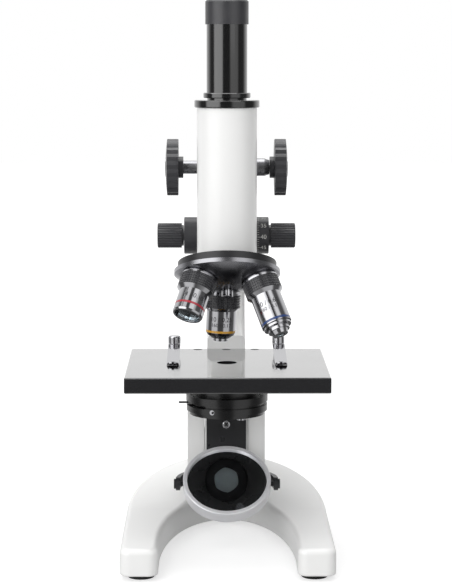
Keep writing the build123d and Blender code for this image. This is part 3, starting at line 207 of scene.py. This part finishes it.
def varied_surface(name, base, rough, spread, grain_mm, bump_mm, shade=0.08, pivot=(0, 0, 0),
                   turn=(0, 0, 0), stretch=(1, 1, 1), **fixed):
    """Principled surface with cloudy colour and roughness, and a fine bump."""
    material, tree, output = new_material(name)
    place = object_pattern(tree, pivot, turn, stretch)
    cloud = add_node(tree, "ShaderNodeTexNoise", {"Vector": place.outputs[0]},
                     {"Scale": per_mm(grain_mm * CLOUD_GRAINS), "Detail": 3.0})
    grain = add_node(tree, "ShaderNodeTexNoise", {"Vector": place.outputs[0]},
                     {"Scale": per_mm(grain_mm), "Detail": 2.0, "Roughness": 0.6})
    darker = tuple(c * (1 - shade) for c in base[:3]) + (1,)
    ramp = add_node(tree, "ShaderNodeValToRGB", {"Fac": cloud.outputs["Fac"]})
    for stop, position, tone in zip(ramp.color_ramp.elements, COLOUR_CLOUDS, (darker, tuple(base))):
        stop.position = position
        stop.color = tone
    patches = add_node(tree, "ShaderNodeMapRange", {"Value": cloud.outputs["Fac"]},
                       {"From Min": ROUGH_CLOUDS[0], "From Max": ROUGH_CLOUDS[1],
                        "To Min": rough - spread, "To Max": rough + spread})
    bump = add_node(tree, "ShaderNodeBump", {"Height": grain.outputs["Fac"]},
                    {"Strength": BUMP_STRENGTH, "Distance": bump_mm * MM})
    shader = add_node(tree, "ShaderNodeBsdfPrincipled",
                      {"Base Color": ramp.outputs["Color"], "Roughness": patches.outputs["Result"],
                       "Normal": bump.outputs["Normal"]}, fixed)
    tree.links.new(shader.outputs["BSDF"], output.inputs["Surface"])
    return material


def even_surface(name, **fixed):
    """Principled surface without clouds or bump, for polished glass."""
    material, tree, output = new_material(name)
    shader = add_node(tree, "ShaderNodeBsdfPrincipled", values=fixed)
    tree.links.new(shader.outputs["BSDF"], output.inputs["Surface"])
    return material


def put_on(material, *nodes):
    """Give CAD nodes a material."""
    for name in nodes:
        mesh = frame["nodes"][name].data
        mesh.materials.clear()
        mesh.materials.append(material)


def nose_turn(thirds):
    """Rotation about the nosepiece axis that takes a piece from the optical axis to its place."""
    angle = sizes().park_angle + thirds * 2 * math.pi / 3
    return Matrix.Translation(apex) @ Matrix.Rotation(angle, 4, nose_axis) @ Matrix.Translation(-apex)


def clear_selection():
    if bpy.context.mode != "OBJECT":
        bpy.ops.object.mode_set(mode="OBJECT")
    bpy.ops.object.select_all(action="DESELECT")


def take_active(name):
    """The active object, with its new name."""
    piece = bpy.context.active_object
    piece.name = name
    piece.data.name = name
    return piece


def join_pieces(pieces):
    """Join meshes into the first of them, which stays active."""
    clear_selection()
    for piece in pieces:
        piece.select_set(True)
    bpy.context.view_layer.objects.active = pieces[0]
    if len(pieces) > 1:
        bpy.ops.object.join()


def settle(piece, matrix=None):
    """Move a piece's place into its mesh, so that its object sits at the origin."""
    bpy.context.view_layer.update()
    whole = (matrix or Matrix.Identity(4)) @ piece.matrix_world
    piece.data.transform(whole)
    piece.matrix_world = Matrix.Identity(4)
    return piece


def wear(piece, material, body):
    """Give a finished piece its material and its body."""
    piece.data.materials.clear()
    piece.data.materials.append(material)
    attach(piece, body)


def flat_text(text, height):
    """A mesh of thin figures, centred on the origin and fine enough to be wrapped."""
    relief = 0.05 * MM
    clear_selection()
    bpy.ops.object.text_add(location=(0, 0, 0))
    words = bpy.context.active_object
    words.data.body = text
    words.data.size = height
    words.data.align_x = "CENTER"
    words.data.align_y = "CENTER"
    words.data.extrude = relief
    bpy.ops.object.convert(target="MESH")
    bpy.ops.object.mode_set(mode="EDIT")
    bpy.ops.mesh.select_all(action="SELECT")
    bpy.ops.mesh.subdivide(number_cuts=1)
    bpy.ops.object.mode_set(mode="OBJECT")
    return bpy.context.active_object


# What gloss shows round the object: bearing in degrees from the user's side, and brightness. Two lit cards
# stand between dark flags, and the white sweep is behind.
CARDS = ((-180, 1.0), (-128, 0.95), (-100, 0.14), (-82, 0.14), (-68, 1.0), (-34, 1.0), (-20, 0.1),
         (12, 0.1), (24, 0.85), (58, 0.85), (72, 0.14), (100, 0.14), (128, 0.95), (180, 1.0))

# The floor's own light grows outwards between these distances, in metres, until it meets the surroundings
FLOOR_RADIUS = 4
GLOW_REACH = (0.25, 1.6)
OUTER_GLOW = 0.93
# Under the object, gloss sees the floor as one flat tone, a painted shade in place of its shadow, and farther
# out as the cards, both a little dimmed
CARDS_REACH = (0.12, 0.4)
PAINTED_SHADE_UNDER_OBJECT = 0.55
FLOOR_DIMMING = 0.95

WHITE = (1, 1, 1, 1)
# Share of the white surroundings' light that falls on matt surfaces
ROOM_LIGHT = 0.5

# Name, place in metres, width, height, power in watts, and whether gloss shows the lamp
LAMPS = (
    ("left_softbox", (-0.98, -0.80, 0.82), 1.6, 1.5, 10.0, True),
    ("right_softbox", (0.62, -1.05, 0.9), 0.8, 1.4, 1.5, True),
    ("top_softbox", (-0.1, 0.25, 1.5), 1.2, 1.2, 11.0, True),
    ("front_fill", (-0.25, -1.5, 0.42), 1.2, 0.6, 6.5, False),
)
LAMP_TARGET_HEIGHT = 0.17

# Sight line through the middle of the frame, as slopes of the level view that the sizes were measured in
SIGHT_LINE = Vector((0.00787, 1, -0.08975))
CAMERA_SHIFT = -0.1186
SENSOR_WIDTH = 36


def studio_cards(tree, direction):
    """Brightness that gloss shows in a direction, read from its bearing."""
    parts = add_node(tree, "ShaderNodeSeparateXYZ", {"Vector": direction})
    ahead = add_node(tree, "ShaderNodeMath", {0: parts.outputs["Y"]}, {1: -1.0}, operation="MULTIPLY")
    bearing = add_node(tree, "ShaderNodeMath", {0: parts.outputs["X"], 1: ahead.outputs[0]},
                       operation="ARCTAN2")
    share = add_node(tree, "ShaderNodeMapRange", {"Value": bearing.outputs[0]},
                     {"From Min": -math.pi, "From Max": math.pi})
    ramp = add_node(tree, "ShaderNodeValToRGB", {"Fac": share.outputs["Result"]})
    ramp.color_ramp.interpolation = "EASE"
    stops = ramp.color_ramp.elements
    stops.remove(stops[1])
    for degrees, value in CARDS:
        stop = stops[0] if degrees == CARDS[0][0] else stops.new((degrees + 180) / 360)
        stop.position = (degrees + 180) / 360
        stop.color = (value, value, value, 1)
    return ramp.outputs["Color"]


def shown_by_ray(tree, matt, gloss, direct):
    """Link three shaders to the right rays: matt light, gloss, and what is seen straight or through glass."""
    path = add_node(tree, "ShaderNodeLightPath")
    seen = add_node(tree, "ShaderNodeMath", {0: path.outputs["Is Camera Ray"],
                                             1: path.outputs["Is Transmission Ray"]}, operation="MAXIMUM")
    indirect = add_node(tree, "ShaderNodeMixShader", {0: path.outputs["Is Glossy Ray"],
                                                      1: matt.outputs[0], 2: gloss.outputs[0]})
    return add_node(tree, "ShaderNodeMixShader", {0: seen.outputs[0],
                                                  1: indirect.outputs[0], 2: direct.outputs[0]})


class MICROSCOPE_OT_studio(bpy.types.Operator):
    """Floor, white surroundings, soft lamps and the camera"""

    bl_idname = "microscope.studio"
    bl_label = "Studio"

    def execute(self, context):
        self.add_floor()
        self.add_world(context.scene)
        self.add_lamps()
        self.add_camera(context.scene)
        return {"FINISHED"}

    def add_floor(self):
        clear_selection()
        bpy.ops.mesh.primitive_circle_add(vertices=64, radius=FLOOR_RADIUS, fill_type="NGON",
                                          location=(0, 0, 0))
        floor = settle(take_active("floor"))
        # Matt white card with its own glow: pale and even, with the shadow kept near the feet, and in gloss a
        # painted shade under the object
        material, tree, output = new_material("matt_white_card")
        coords = add_node(tree, "ShaderNodeTexCoord")
        reach = add_node(tree, "ShaderNodeVectorMath", {0: coords.outputs["Object"]}, operation="LENGTH")
        light = add_node(tree, "ShaderNodeMapRange", {"Value": reach.outputs["Value"]},
                         {"From Min": GLOW_REACH[0], "From Max": GLOW_REACH[1],
                          "To Min": sizes().floor_glow, "To Max": OUTER_GLOW},
                         interpolation_type="SMOOTHSTEP")
        glow = add_node(tree, "ShaderNodeEmission", {"Strength": light.outputs["Result"]}, {"Color": WHITE})
        card = add_node(tree, "ShaderNodeBsdfDiffuse", values={"Color": srgb("#C4C4C4")})
        lit = add_node(tree, "ShaderNodeAddShader", {0: card.outputs[0], 1: glow.outputs[0]})
        cards = studio_cards(tree, coords.outputs["Object"])
        # Painted shade: in gloss the floor shows no real shadow, so under the object it shows a flat darker
        # tone
        away = add_node(tree, "ShaderNodeMapRange", {"Value": reach.outputs["Value"]},
                        {"From Min": CARDS_REACH[0], "From Max": CARDS_REACH[1]})
        tone = add_node(tree, "ShaderNodeMix", {"Factor": away.outputs["Result"], "B": cards},
                        {"A": PAINTED_SHADE_UNDER_OBJECT})
        dimmed = add_node(tree, "ShaderNodeMath", {0: tone.outputs["Result"]}, {1: FLOOR_DIMMING},
                          operation="MULTIPLY")
        mirrored = add_node(tree, "ShaderNodeEmission", {"Strength": dimmed.outputs["Value"]},
                            {"Color": WHITE})
        shown = shown_by_ray(tree, card, mirrored, lit)
        tree.links.new(shown.outputs[0], output.inputs["Surface"])
        floor.data.materials.append(material)

    def add_world(self, scene):
        # White to the camera and through glass, cards and flags to gloss, and a dimmer white to matt surfaces
        world = bpy.data.worlds.new("white_surroundings")
        scene.world = world
        world.use_nodes = True
        tree = world.node_tree
        tree.nodes.clear()
        coords = add_node(tree, "ShaderNodeTexCoord")
        cards = studio_cards(tree, coords.outputs["Generated"])
        room = add_node(tree, "ShaderNodeBackground", values={"Color": WHITE, "Strength": ROOM_LIGHT})
        mirrored = add_node(tree, "ShaderNodeBackground", {"Color": cards}, {"Strength": 1.0})
        white = add_node(tree, "ShaderNodeBackground", values={"Color": WHITE, "Strength": 1.0})
        shown = shown_by_ray(tree, room, mirrored, white)
        output = add_node(tree, "ShaderNodeOutputWorld")
        tree.links.new(shown.outputs[0], output.inputs["Surface"])

    def add_lamps(self):
        middle = Vector((0, axis_y, LAMP_TARGET_HEIGHT))
        for name, place, wide, tall, power, seen_in_gloss in LAMPS:
            clear_selection()
            bpy.ops.object.light_add(type="AREA", location=place)
            lamp = bpy.context.active_object
            lamp.name = name
            lamp.data.shape = "RECTANGLE"
            lamp.data.size = wide
            lamp.data.size_y = tall
            lamp.data.energy = power
            lamp.visible_glossy = seen_in_gloss
            lamp.rotation_euler = (middle - Vector(place)).to_track_quat("-Z", "Y").to_euler()

    def add_camera(self, scene):
        chosen = sizes()
        data = bpy.data.cameras.new("camera")
        data.lens = chosen.lens
        data.sensor_width = SENSOR_WIDTH
        data.shift_y = CAMERA_SHIFT
        camera = bpy.data.objects.new("camera", data)
        camera.location = (chosen.camera_left, axis_y - chosen.camera_distance, chosen.camera_height)
        camera.rotation_euler = SIGHT_LINE.to_track_quat("-Z", "Y").to_euler()
        scene.collection.objects.link(camera)
        scene.camera = camera
        scene.view_settings.view_transform = "Standard"


class MICROSCOPE_OT_castings(bpy.types.Operator):
    """White baked enamel on the base, the arm and the body tube"""

    bl_idname = "microscope.castings"
    bl_label = "Enamelled castings"

    def execute(self, context):
        # Enamel sprayed and baked on cast metal: near white, a soft gloss and a faint orange peel
        enamel = varied_surface("baked_white_enamel", colours().enamel, rough=0.34, spread=0.04,
                                grain_mm=1.4, bump_mm=0.02, shade=0.015,
                                **{"Coat Weight": 0.25, "Coat Roughness": 0.15})
        put_on(enamel, "base_casting", "limb_casting", "body_tube")
        return {"FINISHED"}


class MICROSCOPE_OT_dark_parts(bpy.types.Operator):
    """Black enamel, anodising, moulded plastic and rubber"""

    bl_idname = "microscope.dark_parts"
    bl_label = "Dark parts"

    def execute(self, context):
        paint = colours()
        # Satin enamel sprayed on turned brass and steel: deep black with broad, soft highlights
        satin = varied_surface("satin_black_enamel", paint.black_enamel, rough=0.33, spread=0.06,
                               grain_mm=0.9, bump_mm=0.015)
        put_on(satin, "mirror_bar", "mirror_fork", "nosepiece_plate", "iris_ring", "mirror_pivot_screws",
               "stage_screws")
        # Gloss enamel, baked and polished: the flat stage mirrors the bright room at a grazing angle
        gloss = varied_surface("lacquered_black_enamel", paint.stage_enamel, rough=0.16, spread=0.03,
                               grain_mm=1.2, bump_mm=0.004, **{
                                   "IOR": 1.6, "Coat Weight": 1.0, "Coat IOR": 1.6, "Coat Roughness": 0.06})
        put_on(gloss, "stage_plate")
        # Hard anodised aluminium, polished before it was dyed: black, with sharp highlights along the tube
        dyed = varied_surface("black_anodised_aluminium", paint.anodised, rough=0.14, spread=0.03,
                              grain_mm=0.8, bump_mm=0.004, stretch=(1, 1, 12),
                              **{"IOR": 1.6, "Coat Weight": 0.8, "Coat Roughness": 0.07})
        put_on(dyed, "draw_tube", "tube_collar")
        # Brass blackened in a bath and waxed: softer highlights than the tube's
        waxed = varied_surface("waxed_black_brass", paint.anodised, rough=0.27, spread=0.05,
                               grain_mm=0.8, bump_mm=0.006, IOR=1.6)
        put_on(waxed, "condenser_mount", "iris_housing", "filter_ring")
        # ABS moulded in a spark-eroded tool: dark grey with a fine grain
        moulded = varied_surface("moulded_black_abs", paint.plastic, rough=0.36, spread=0.05,
                                 grain_mm=0.35, bump_mm=0.03, IOR=1.56)
        put_on(moulded, "coarse_knob_left", "coarse_knob_right", "fine_knob_left", "fine_knob_right",
               "fine_drum_left", "fine_drum_right", "eyepiece_cap")
        # Pressed rubber: matt, with hardly a highlight
        rubber = varied_surface("black_rubber", paint.rubber, rough=0.75, spread=0.08,
                                grain_mm=0.5, bump_mm=0.05)
        put_on(rubber, "rubber_feet")
        return {"FINISHED"}


class MICROSCOPE_OT_bright_parts(bpy.types.Operator):
    """Chrome, steel, brass, aluminium, lenses and mirrors"""

    bl_idname = "microscope.bright_parts"
    bl_label = "Bright parts"

    def execute(self, context):
        self.plated()
        self.bare_metal()
        self.lacquered()
        self.glass()
        return {"FINISHED"}

    def plated(self):
        tone = colours()
        # Chrome plate over turned brass: mirror-like, with faint lathe rings round each barrel. The rings are
        # drawn coarser than a lathe leaves them, so that they show.
        for power, thirds in OBJECTIVES:
            node = "objective_" + power
            place = nose_turn(thirds) @ Matrix.Translation(apex)
            barrel = varied_surface("turned_chrome_" + node, tone.chrome, rough=0.1, spread=0.04,
                                    grain_mm=0.9, bump_mm=0.006, shade=0.05, pivot=place.to_translation(),
                                    turn=place.to_euler(), stretch=(60, 60, 1), Metallic=1.0)
            put_on(barrel, node)
        # Chrome plate over polished steel: small, hard reflections of the whole room
        chrome = varied_surface("polished_chrome", tone.chrome, rough=0.09, spread=0.04,
                                grain_mm=1.1, bump_mm=0.004, shade=0.05, Metallic=1.0)
        put_on(chrome, "clip_left", "clip_right", "clip_posts", "nosepiece_bolt", "coarse_knob_caps",
               "mirror_bar_screw", "filter_pivot_screw", "iris_screw")
        # Chrome plate over bead-blasted brass: a silky grey without sharp reflections
        satin = varied_surface("satin_chrome", tone.satin_chrome, rough=0.24, spread=0.05,
                               grain_mm=0.6, bump_mm=0.01, shade=0.06, Metallic=1.0)
        put_on(satin, "turret_dish")

    def bare_metal(self):
        tone = colours()
        # Steel as it leaves the lathe, wiped with oil: grey, with uneven soft highlights
        steel = varied_surface("turned_steel", tone.steel, rough=0.28, spread=0.08,
                               grain_mm=0.5, bump_mm=0.01, shade=0.12, Metallic=1.0)
        put_on(steel, "inclination_axle", "inclination_screws", "coarse_shaft", "coarse_pinion",
               "fine_shaft", "nosepiece_click", "tube_slide", "coarse_sleeve")
        # Thin spring steel, blued almost black so that it throws no light
        blued = varied_surface("blued_steel", tone.blued, rough=0.45, spread=0.06,
                               grain_mm=0.6, bump_mm=0.005, shade=0.2, Metallic=0.6)
        put_on(blued, *["iris_blade_%d" % (n + 1) for n in range(6)])
        # Milled brass without a finish: warm yellow, dulled in patches by handling
        brass = varied_surface("machined_brass", tone.brass, rough=0.26, spread=0.08,
                               grain_mm=0.6, bump_mm=0.01, shade=0.15, Metallic=1.0)
        put_on(brass, "tube_rack", "fine_wedge")
        # Aluminium etched and clear anodised: a pale, even satin
        aluminium = varied_surface("satin_anodised_aluminium", tone.aluminium, rough=0.3, spread=0.05,
                                   grain_mm=0.5, bump_mm=0.01, shade=0.05, Metallic=0.85)
        put_on(aluminium, "focus_carriage", "eyepiece_barrel")

    def lacquered(self):
        # Pressed metal sprayed with silver lacquer: brighter and softer than bare metal
        silver = varied_surface("silver_lacquer", colours().silver, rough=0.32, spread=0.04,
                                grain_mm=0.5, bump_mm=0.008, shade=0.03,
                                **{"Metallic": 0.3, "Coat Weight": 0.3})
        put_on(silver, "mirror_frame")

    def glass(self):
        # Crown glass, ground, polished and coated: clear, with a pale glint
        lens = even_surface("coated_lens_glass", **{
            "Base Color": srgb("#E8F0F4"), "Roughness": 0.02, "IOR": 1.52, "Transmission Weight": 1.0,
            "Coat Weight": 0.3, "Coat Roughness": 0.02, "Coat Tint": srgb("#E6EEF0")})
        put_on(lens, "objective_lenses", "eyepiece_lenses")
        # Thick bloomed crown glass, seen from below: full of the pale light round it
        bloomed = even_surface("bloomed_condenser_glass", **{
            "Base Color": srgb("#DCE9EB"), "Roughness": 0.04, "IOR": 1.52, "Transmission Weight": 0.4,
            "Coat Weight": 1.0, "Coat IOR": 1.7, "Coat Roughness": 0.02})
        put_on(bloomed, "condenser_lens")
        # Glass silvered behind: a clean mirror with hardly a cloud
        silvered = varied_surface("silvered_glass", srgb("#E6E8EA"), rough=0.03, spread=0.015,
                                  grain_mm=1.5, bump_mm=0.001, shade=0.02, Metallic=1.0)
        put_on(silvered, "mirror_flat_glass", "mirror_concave_glass")


class MICROSCOPE_OT_colour_bands(bpy.types.Operator):
    """Painted colour band in the groove of each objective"""

    bl_idname = "microscope.colour_bands"
    bl_label = "Objective colour bands"

    def execute(self, context):
        chosen = sizes()
        paint = colours()
        starts = (chosen.band_start_4x, chosen.band_start_10x, chosen.band_start_40x)
        tones = (paint.red, paint.yellow, paint.blue)
        for (power, thirds), start, tone in zip(OBJECTIVES, starts, tones):
            # Baked lacquer laid in a turned groove: a full colour under a thin gloss
            lacquer = varied_surface("lacquer_band_" + power, tone, rough=0.25, spread=0.04,
                                     grain_mm=0.8, bump_mm=0.01, **{"Coat Weight": 0.4})
            self.add_band("objective_band_" + power, thirds, start, lacquer)
        return {"FINISHED"}

    def add_band(self, name, thirds, start, material):
        """A thin ring, drawn inwards from its outer wall."""
        chosen = sizes()
        inner_share = 0.984
        clear_selection()
        place = apex + DOWN * (start + chosen.band_width / 2)
        bpy.ops.mesh.primitive_cylinder_add(vertices=96, radius=chosen.band_radius, depth=chosen.band_width,
                                            end_fill_type="NOTHING", location=place)
        bpy.ops.object.mode_set(mode="EDIT")
        bpy.ops.mesh.extrude_region_move()
        bpy.ops.transform.resize(value=(inner_share, inner_share, 1), center_override=place)
        bpy.ops.mesh.select_all(action="SELECT")
        bpy.ops.mesh.normals_make_consistent(inside=False)
        bpy.ops.object.mode_set(mode="OBJECT")
        bpy.ops.object.shade_smooth_by_angle(angle=math.radians(35))
        band = settle(take_active(name), nose_turn(thirds))
        wear(band, material, "turret")


class MICROSCOPE_OT_grips(bpy.types.Operator):
    """Knurled grip of each objective"""

    bl_idname = "microscope.grips"
    bl_label = "Objective grips"

    def execute(self, context):
        # Moulded ABS, smoothed by fingers: dark, with a glint on each block of the knurl
        moulded = varied_surface("knurled_black_abs", colours().plastic, rough=0.28, spread=0.05,
                                 grain_mm=0.4, bump_mm=0.01, IOR=1.6)
        for power, thirds in OBJECTIVES:
            self.add_grip("objective_grip_" + power, thirds, moulded)
        return {"FINISHED"}

    def add_grip(self, name, thirds, material):
        """Rows of raised blocks round a tube, closed by its bore."""
        chosen = sizes()
        clear_selection()
        top = apex + DOWN * chosen.grip_start
        row = chosen.grip_length / chosen.knurl_rows
        root = chosen.grip_radius - chosen.knurl_depth
        groove = row * 0.13
        bpy.ops.mesh.primitive_circle_add(vertices=chosen.knurl_columns, radius=root, location=top)
        bpy.ops.object.mode_set(mode="EDIT")
        for _ in range(chosen.knurl_rows):
            bpy.ops.mesh.extrude_region_move(TRANSFORM_OT_translate={"value": (0, 0, -row)})
        bpy.ops.mesh.select_mode(type="FACE")
        bpy.ops.mesh.select_all(action="SELECT")
        bpy.ops.mesh.normals_make_consistent(inside=False)
        bpy.ops.mesh.inset(thickness=groove, use_individual=True)
        bpy.ops.mesh.inset(thickness=groove, depth=chosen.knurl_depth, use_individual=True)
        # The open rims become the ends and the bore
        bpy.ops.mesh.select_mode(type="EDGE")
        bpy.ops.mesh.select_all(action="DESELECT")
        bpy.ops.mesh.select_non_manifold()
        bore_share = chosen.grip_bore / root
        bpy.ops.mesh.extrude_region_move()
        bpy.ops.transform.resize(value=(bore_share, bore_share, 1), center_override=top)
        bpy.ops.mesh.bridge_edge_loops()
        bpy.ops.mesh.select_all(action="SELECT")
        bpy.ops.mesh.normals_make_consistent(inside=False)
        bpy.ops.object.mode_set(mode="OBJECT")
        grip = settle(take_active(name), nose_turn(thirds))
        wear(grip, material, "turret")
        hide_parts("objective_grips")


class MICROSCOPE_OT_figures(bpy.types.Operator):
    """Power and aperture engraved on each objective"""

    bl_idname = "microscope.figures"
    bl_label = "Objective figures"

    def execute(self, context):
        chosen = sizes()
        texts = ("4 / 0.10", "10 / 0.25", "40 / 0.65")
        tube_text = "160 / 0.17"
        distances = (chosen.figures_4x, chosen.figures_10x, chosen.figures_40x)
        second_height = chosen.figure_height * 0.8
        second_drop = chosen.figure_height * 0.9
        # Wax rubbed into engraved figures: a dull black that stays legible on chrome
        wax = varied_surface("black_engraving_wax", srgb("#1A1A1C"), rough=0.5, spread=0.05,
                             grain_mm=0.3, bump_mm=0.01)
        for (power, thirds), text, distance in zip(OBJECTIVES, texts, distances):
            lines = [(text, chosen.figure_height, distance)]
            # The short barrel of the lowest power has room for one line only
            if power != "4x":
                lines.append((tube_text, second_height, distance + second_drop))
            self.add_figures("objective_figures_" + power, thirds, lines, wax)
        return {"FINISHED"}

    def add_figures(self, name, thirds, lines, material):
        """Lines of figures, wrapped round a barrel on the user's side."""
        chosen = sizes()
        place = nose_turn(thirds)
        ahead = place.to_3x3().inverted() @ USER_SIDE
        facing = Matrix.Rotation(math.atan2(ahead.x, -ahead.y), 4, "Z")
        pieces = []
        for text, height, distance in lines:
            piece = flat_text(text, height)
            for vertex in piece.data.vertices:
                angle = vertex.co.x / chosen.barrel_radius
                radius = chosen.barrel_radius + vertex.co.z
                vertex.co = Vector((math.sin(angle) * radius, -math.cos(angle) * radius,
                                    vertex.co.y - distance))
            pieces.append(piece)
        join_pieces(pieces)
        figures = settle(take_active(name), place @ Matrix.Translation(apex) @ facing)
        wear(figures, material, "turret")


class MICROSCOPE_OT_drum_scale(bpy.types.Operator):
    """Graduation lines and numbers round the right fine focus drum"""

    bl_idname = "microscope.drum_scale"
    bl_label = "Drum scale"

    def execute(self, context):
        chosen = sizes()
        numbered_every = 5
        long_tick = chosen.tick_length * 1.7
        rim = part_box("fine_drum_right")[1].x
        inner = rim - chosen.scale_width
        middle = rim - chosen.scale_width * 0.45
        # Paint wiped into the engraved scale: a matt off-white, easy to read on black
        paint = varied_surface("white_scale_paint", colours().marking, rough=0.5, spread=0.05,
                               grain_mm=0.3, bump_mm=0.01)
        pieces = []
        for mark in range(chosen.drum_marks):
            numbered = mark % numbered_every == 0
            pieces.append(self.tick(inner, long_tick if numbered else chosen.tick_length, mark))
            if numbered:
                pieces.append(self.numeral(middle, mark))
        join_pieces(pieces)
        scale = settle(take_active("fine_drum_scale"))
        wear(scale, paint, "fine_drive")
        return {"FINISHED"}

    def scale_turn(self, mark):
        """Turn of a mark about the drum's axis, with the chosen number towards the user."""
        chosen = sizes()
        angle = 2 * math.pi * (mark - chosen.front_number) / chosen.drum_marks + math.pi / 2
        return Matrix.Rotation(angle, 4, "X")

    def tick(self, start, reach, mark):
        """A thin bar along the drum, half sunk in its wall."""
        chosen = sizes()
        thickness = 0.12 * MM
        clear_selection()
        bpy.ops.mesh.primitive_cube_add(size=1, location=(0, 0, 0))
        piece = bpy.context.active_object
        piece.scale = (reach, chosen.tick_width, thickness)
        piece.location = (start + reach / 2, 0, chosen.drum_radius)
        return settle(piece, Matrix.Translation(drum_centre) @ self.scale_turn(mark))

    def numeral(self, middle, mark):
        """A number that stands upright for a user in front, wrapped round the drum."""
        chosen = sizes()
        piece = flat_text(str(mark), chosen.numeral_height)
        for vertex in piece.data.vertices:
            angle = vertex.co.y / chosen.drum_radius
            radius = chosen.drum_radius + vertex.co.z
            vertex.co = Vector((vertex.co.x, math.sin(angle) * radius, math.cos(angle) * radius))
        place = Matrix.Translation((middle, drum_centre.y, drum_centre.z))
        return settle(piece, place @ self.scale_turn(mark))


class MICROSCOPE_OT_screw_recesses(bpy.types.Operator):
    """Painted shade of the driver recesses in the heads of the two screws that face the user"""

    bl_idname = "microscope.screw_recesses"
    bl_label = "Screw recesses"

    def execute(self, context):
        # Painted shade of a driver recess: a near-black matt piece just over the head, so no light comes back
        shade = varied_surface("painted_recess_shade", srgb("#101011"), rough=0.5, spread=0.05,
                               grain_mm=0.3, bump_mm=0.01)
        for node, arms in (("iris_screw", 0), ("mirror_bar_screw", 4)):
            low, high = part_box(node)
            centre = Vector(((low.x + high.x) / 2, low.y, (low.z + high.z) / 2))
            recess = self.recess(node + "_recess", centre, (high.x - low.x) / 2, arms)
            wear(recess, shade, "arm")
        return {"FINISHED"}

    def recess(self, name, centre, head, arms):
        """A six-sided socket, or a cross where the recess has arms, sized by the head's radius: painted
        shade.
        """
        socket = head * 0.42
        core = head * 0.2
        arm_reach = head * 0.42
        clear_selection()
        bpy.ops.mesh.primitive_cylinder_add(vertices=arms or 6, radius=core if arms else socket,
                                            depth=sizes().recess_depth * 2, location=centre,
                                            rotation=(math.pi / 2, 0, 0))
        piece = bpy.context.active_object
        bpy.ops.object.mode_set(mode="EDIT")
        bpy.ops.mesh.select_all(action="DESELECT")
        bpy.ops.object.mode_set(mode="OBJECT")
        for face in piece.data.polygons:
            face.select = bool(arms) and abs(face.normal.z) < 0.5
        bpy.ops.object.mode_set(mode="EDIT")
        if arms:
            bpy.ops.mesh.extrude_faces_move(TRANSFORM_OT_shrink_fatten={"value": arm_reach})
        bpy.ops.mesh.select_all(action="SELECT")
        bpy.ops.mesh.remove_doubles(threshold=0.001 * MM)
        bpy.ops.mesh.normals_make_consistent(inside=False)
        bpy.ops.object.mode_set(mode="OBJECT")
        return settle(take_active(name))


class MICROSCOPE_PT_panel(bpy.types.Panel):
    """Steps that finish the microscope"""

    bl_idname = "MICROSCOPE_PT_panel"
    bl_label = "Microscope"
    bl_space_type = "VIEW_3D"
    bl_region_type = "UI"
    bl_category = "Microscope"

    def draw(self, context):
        for step in STEPS:
            self.layout.operator(step.bl_idname)


STEPS = (
    MICROSCOPE_OT_studio,
    MICROSCOPE_OT_castings,
    MICROSCOPE_OT_dark_parts,
    MICROSCOPE_OT_bright_parts,
    MICROSCOPE_OT_colour_bands,
    MICROSCOPE_OT_grips,
    MICROSCOPE_OT_figures,
    MICROSCOPE_OT_drum_scale,
    MICROSCOPE_OT_screw_recesses,
)
CLASSES = (MicroscopeSizes, MicroscopeColours, *STEPS, MICROSCOPE_PT_panel)


def register():
    for each in CLASSES:
        bpy.utils.register_class(each)
    bpy.types.Scene.microscope_sizes = bpy.props.PointerProperty(type=MicroscopeSizes)
    bpy.types.Scene.microscope_colours = bpy.props.PointerProperty(type=MicroscopeColours)


def unregister():
    del bpy.types.Scene.microscope_colours
    del bpy.types.Scene.microscope_sizes
    for each in reversed(CLASSES):
        bpy.utils.unregister_class(each)


def main():
    register()
    bpy.ops.microscope.studio()
    bpy.ops.microscope.castings()
    bpy.ops.microscope.dark_parts()
    bpy.ops.microscope.bright_parts()
    bpy.ops.microscope.colour_bands()
    bpy.ops.microscope.grips()
    bpy.ops.microscope.figures()
    bpy.ops.microscope.drum_scale()
    bpy.ops.microscope.screw_recesses()


if __name__ == "__main__":
    main()
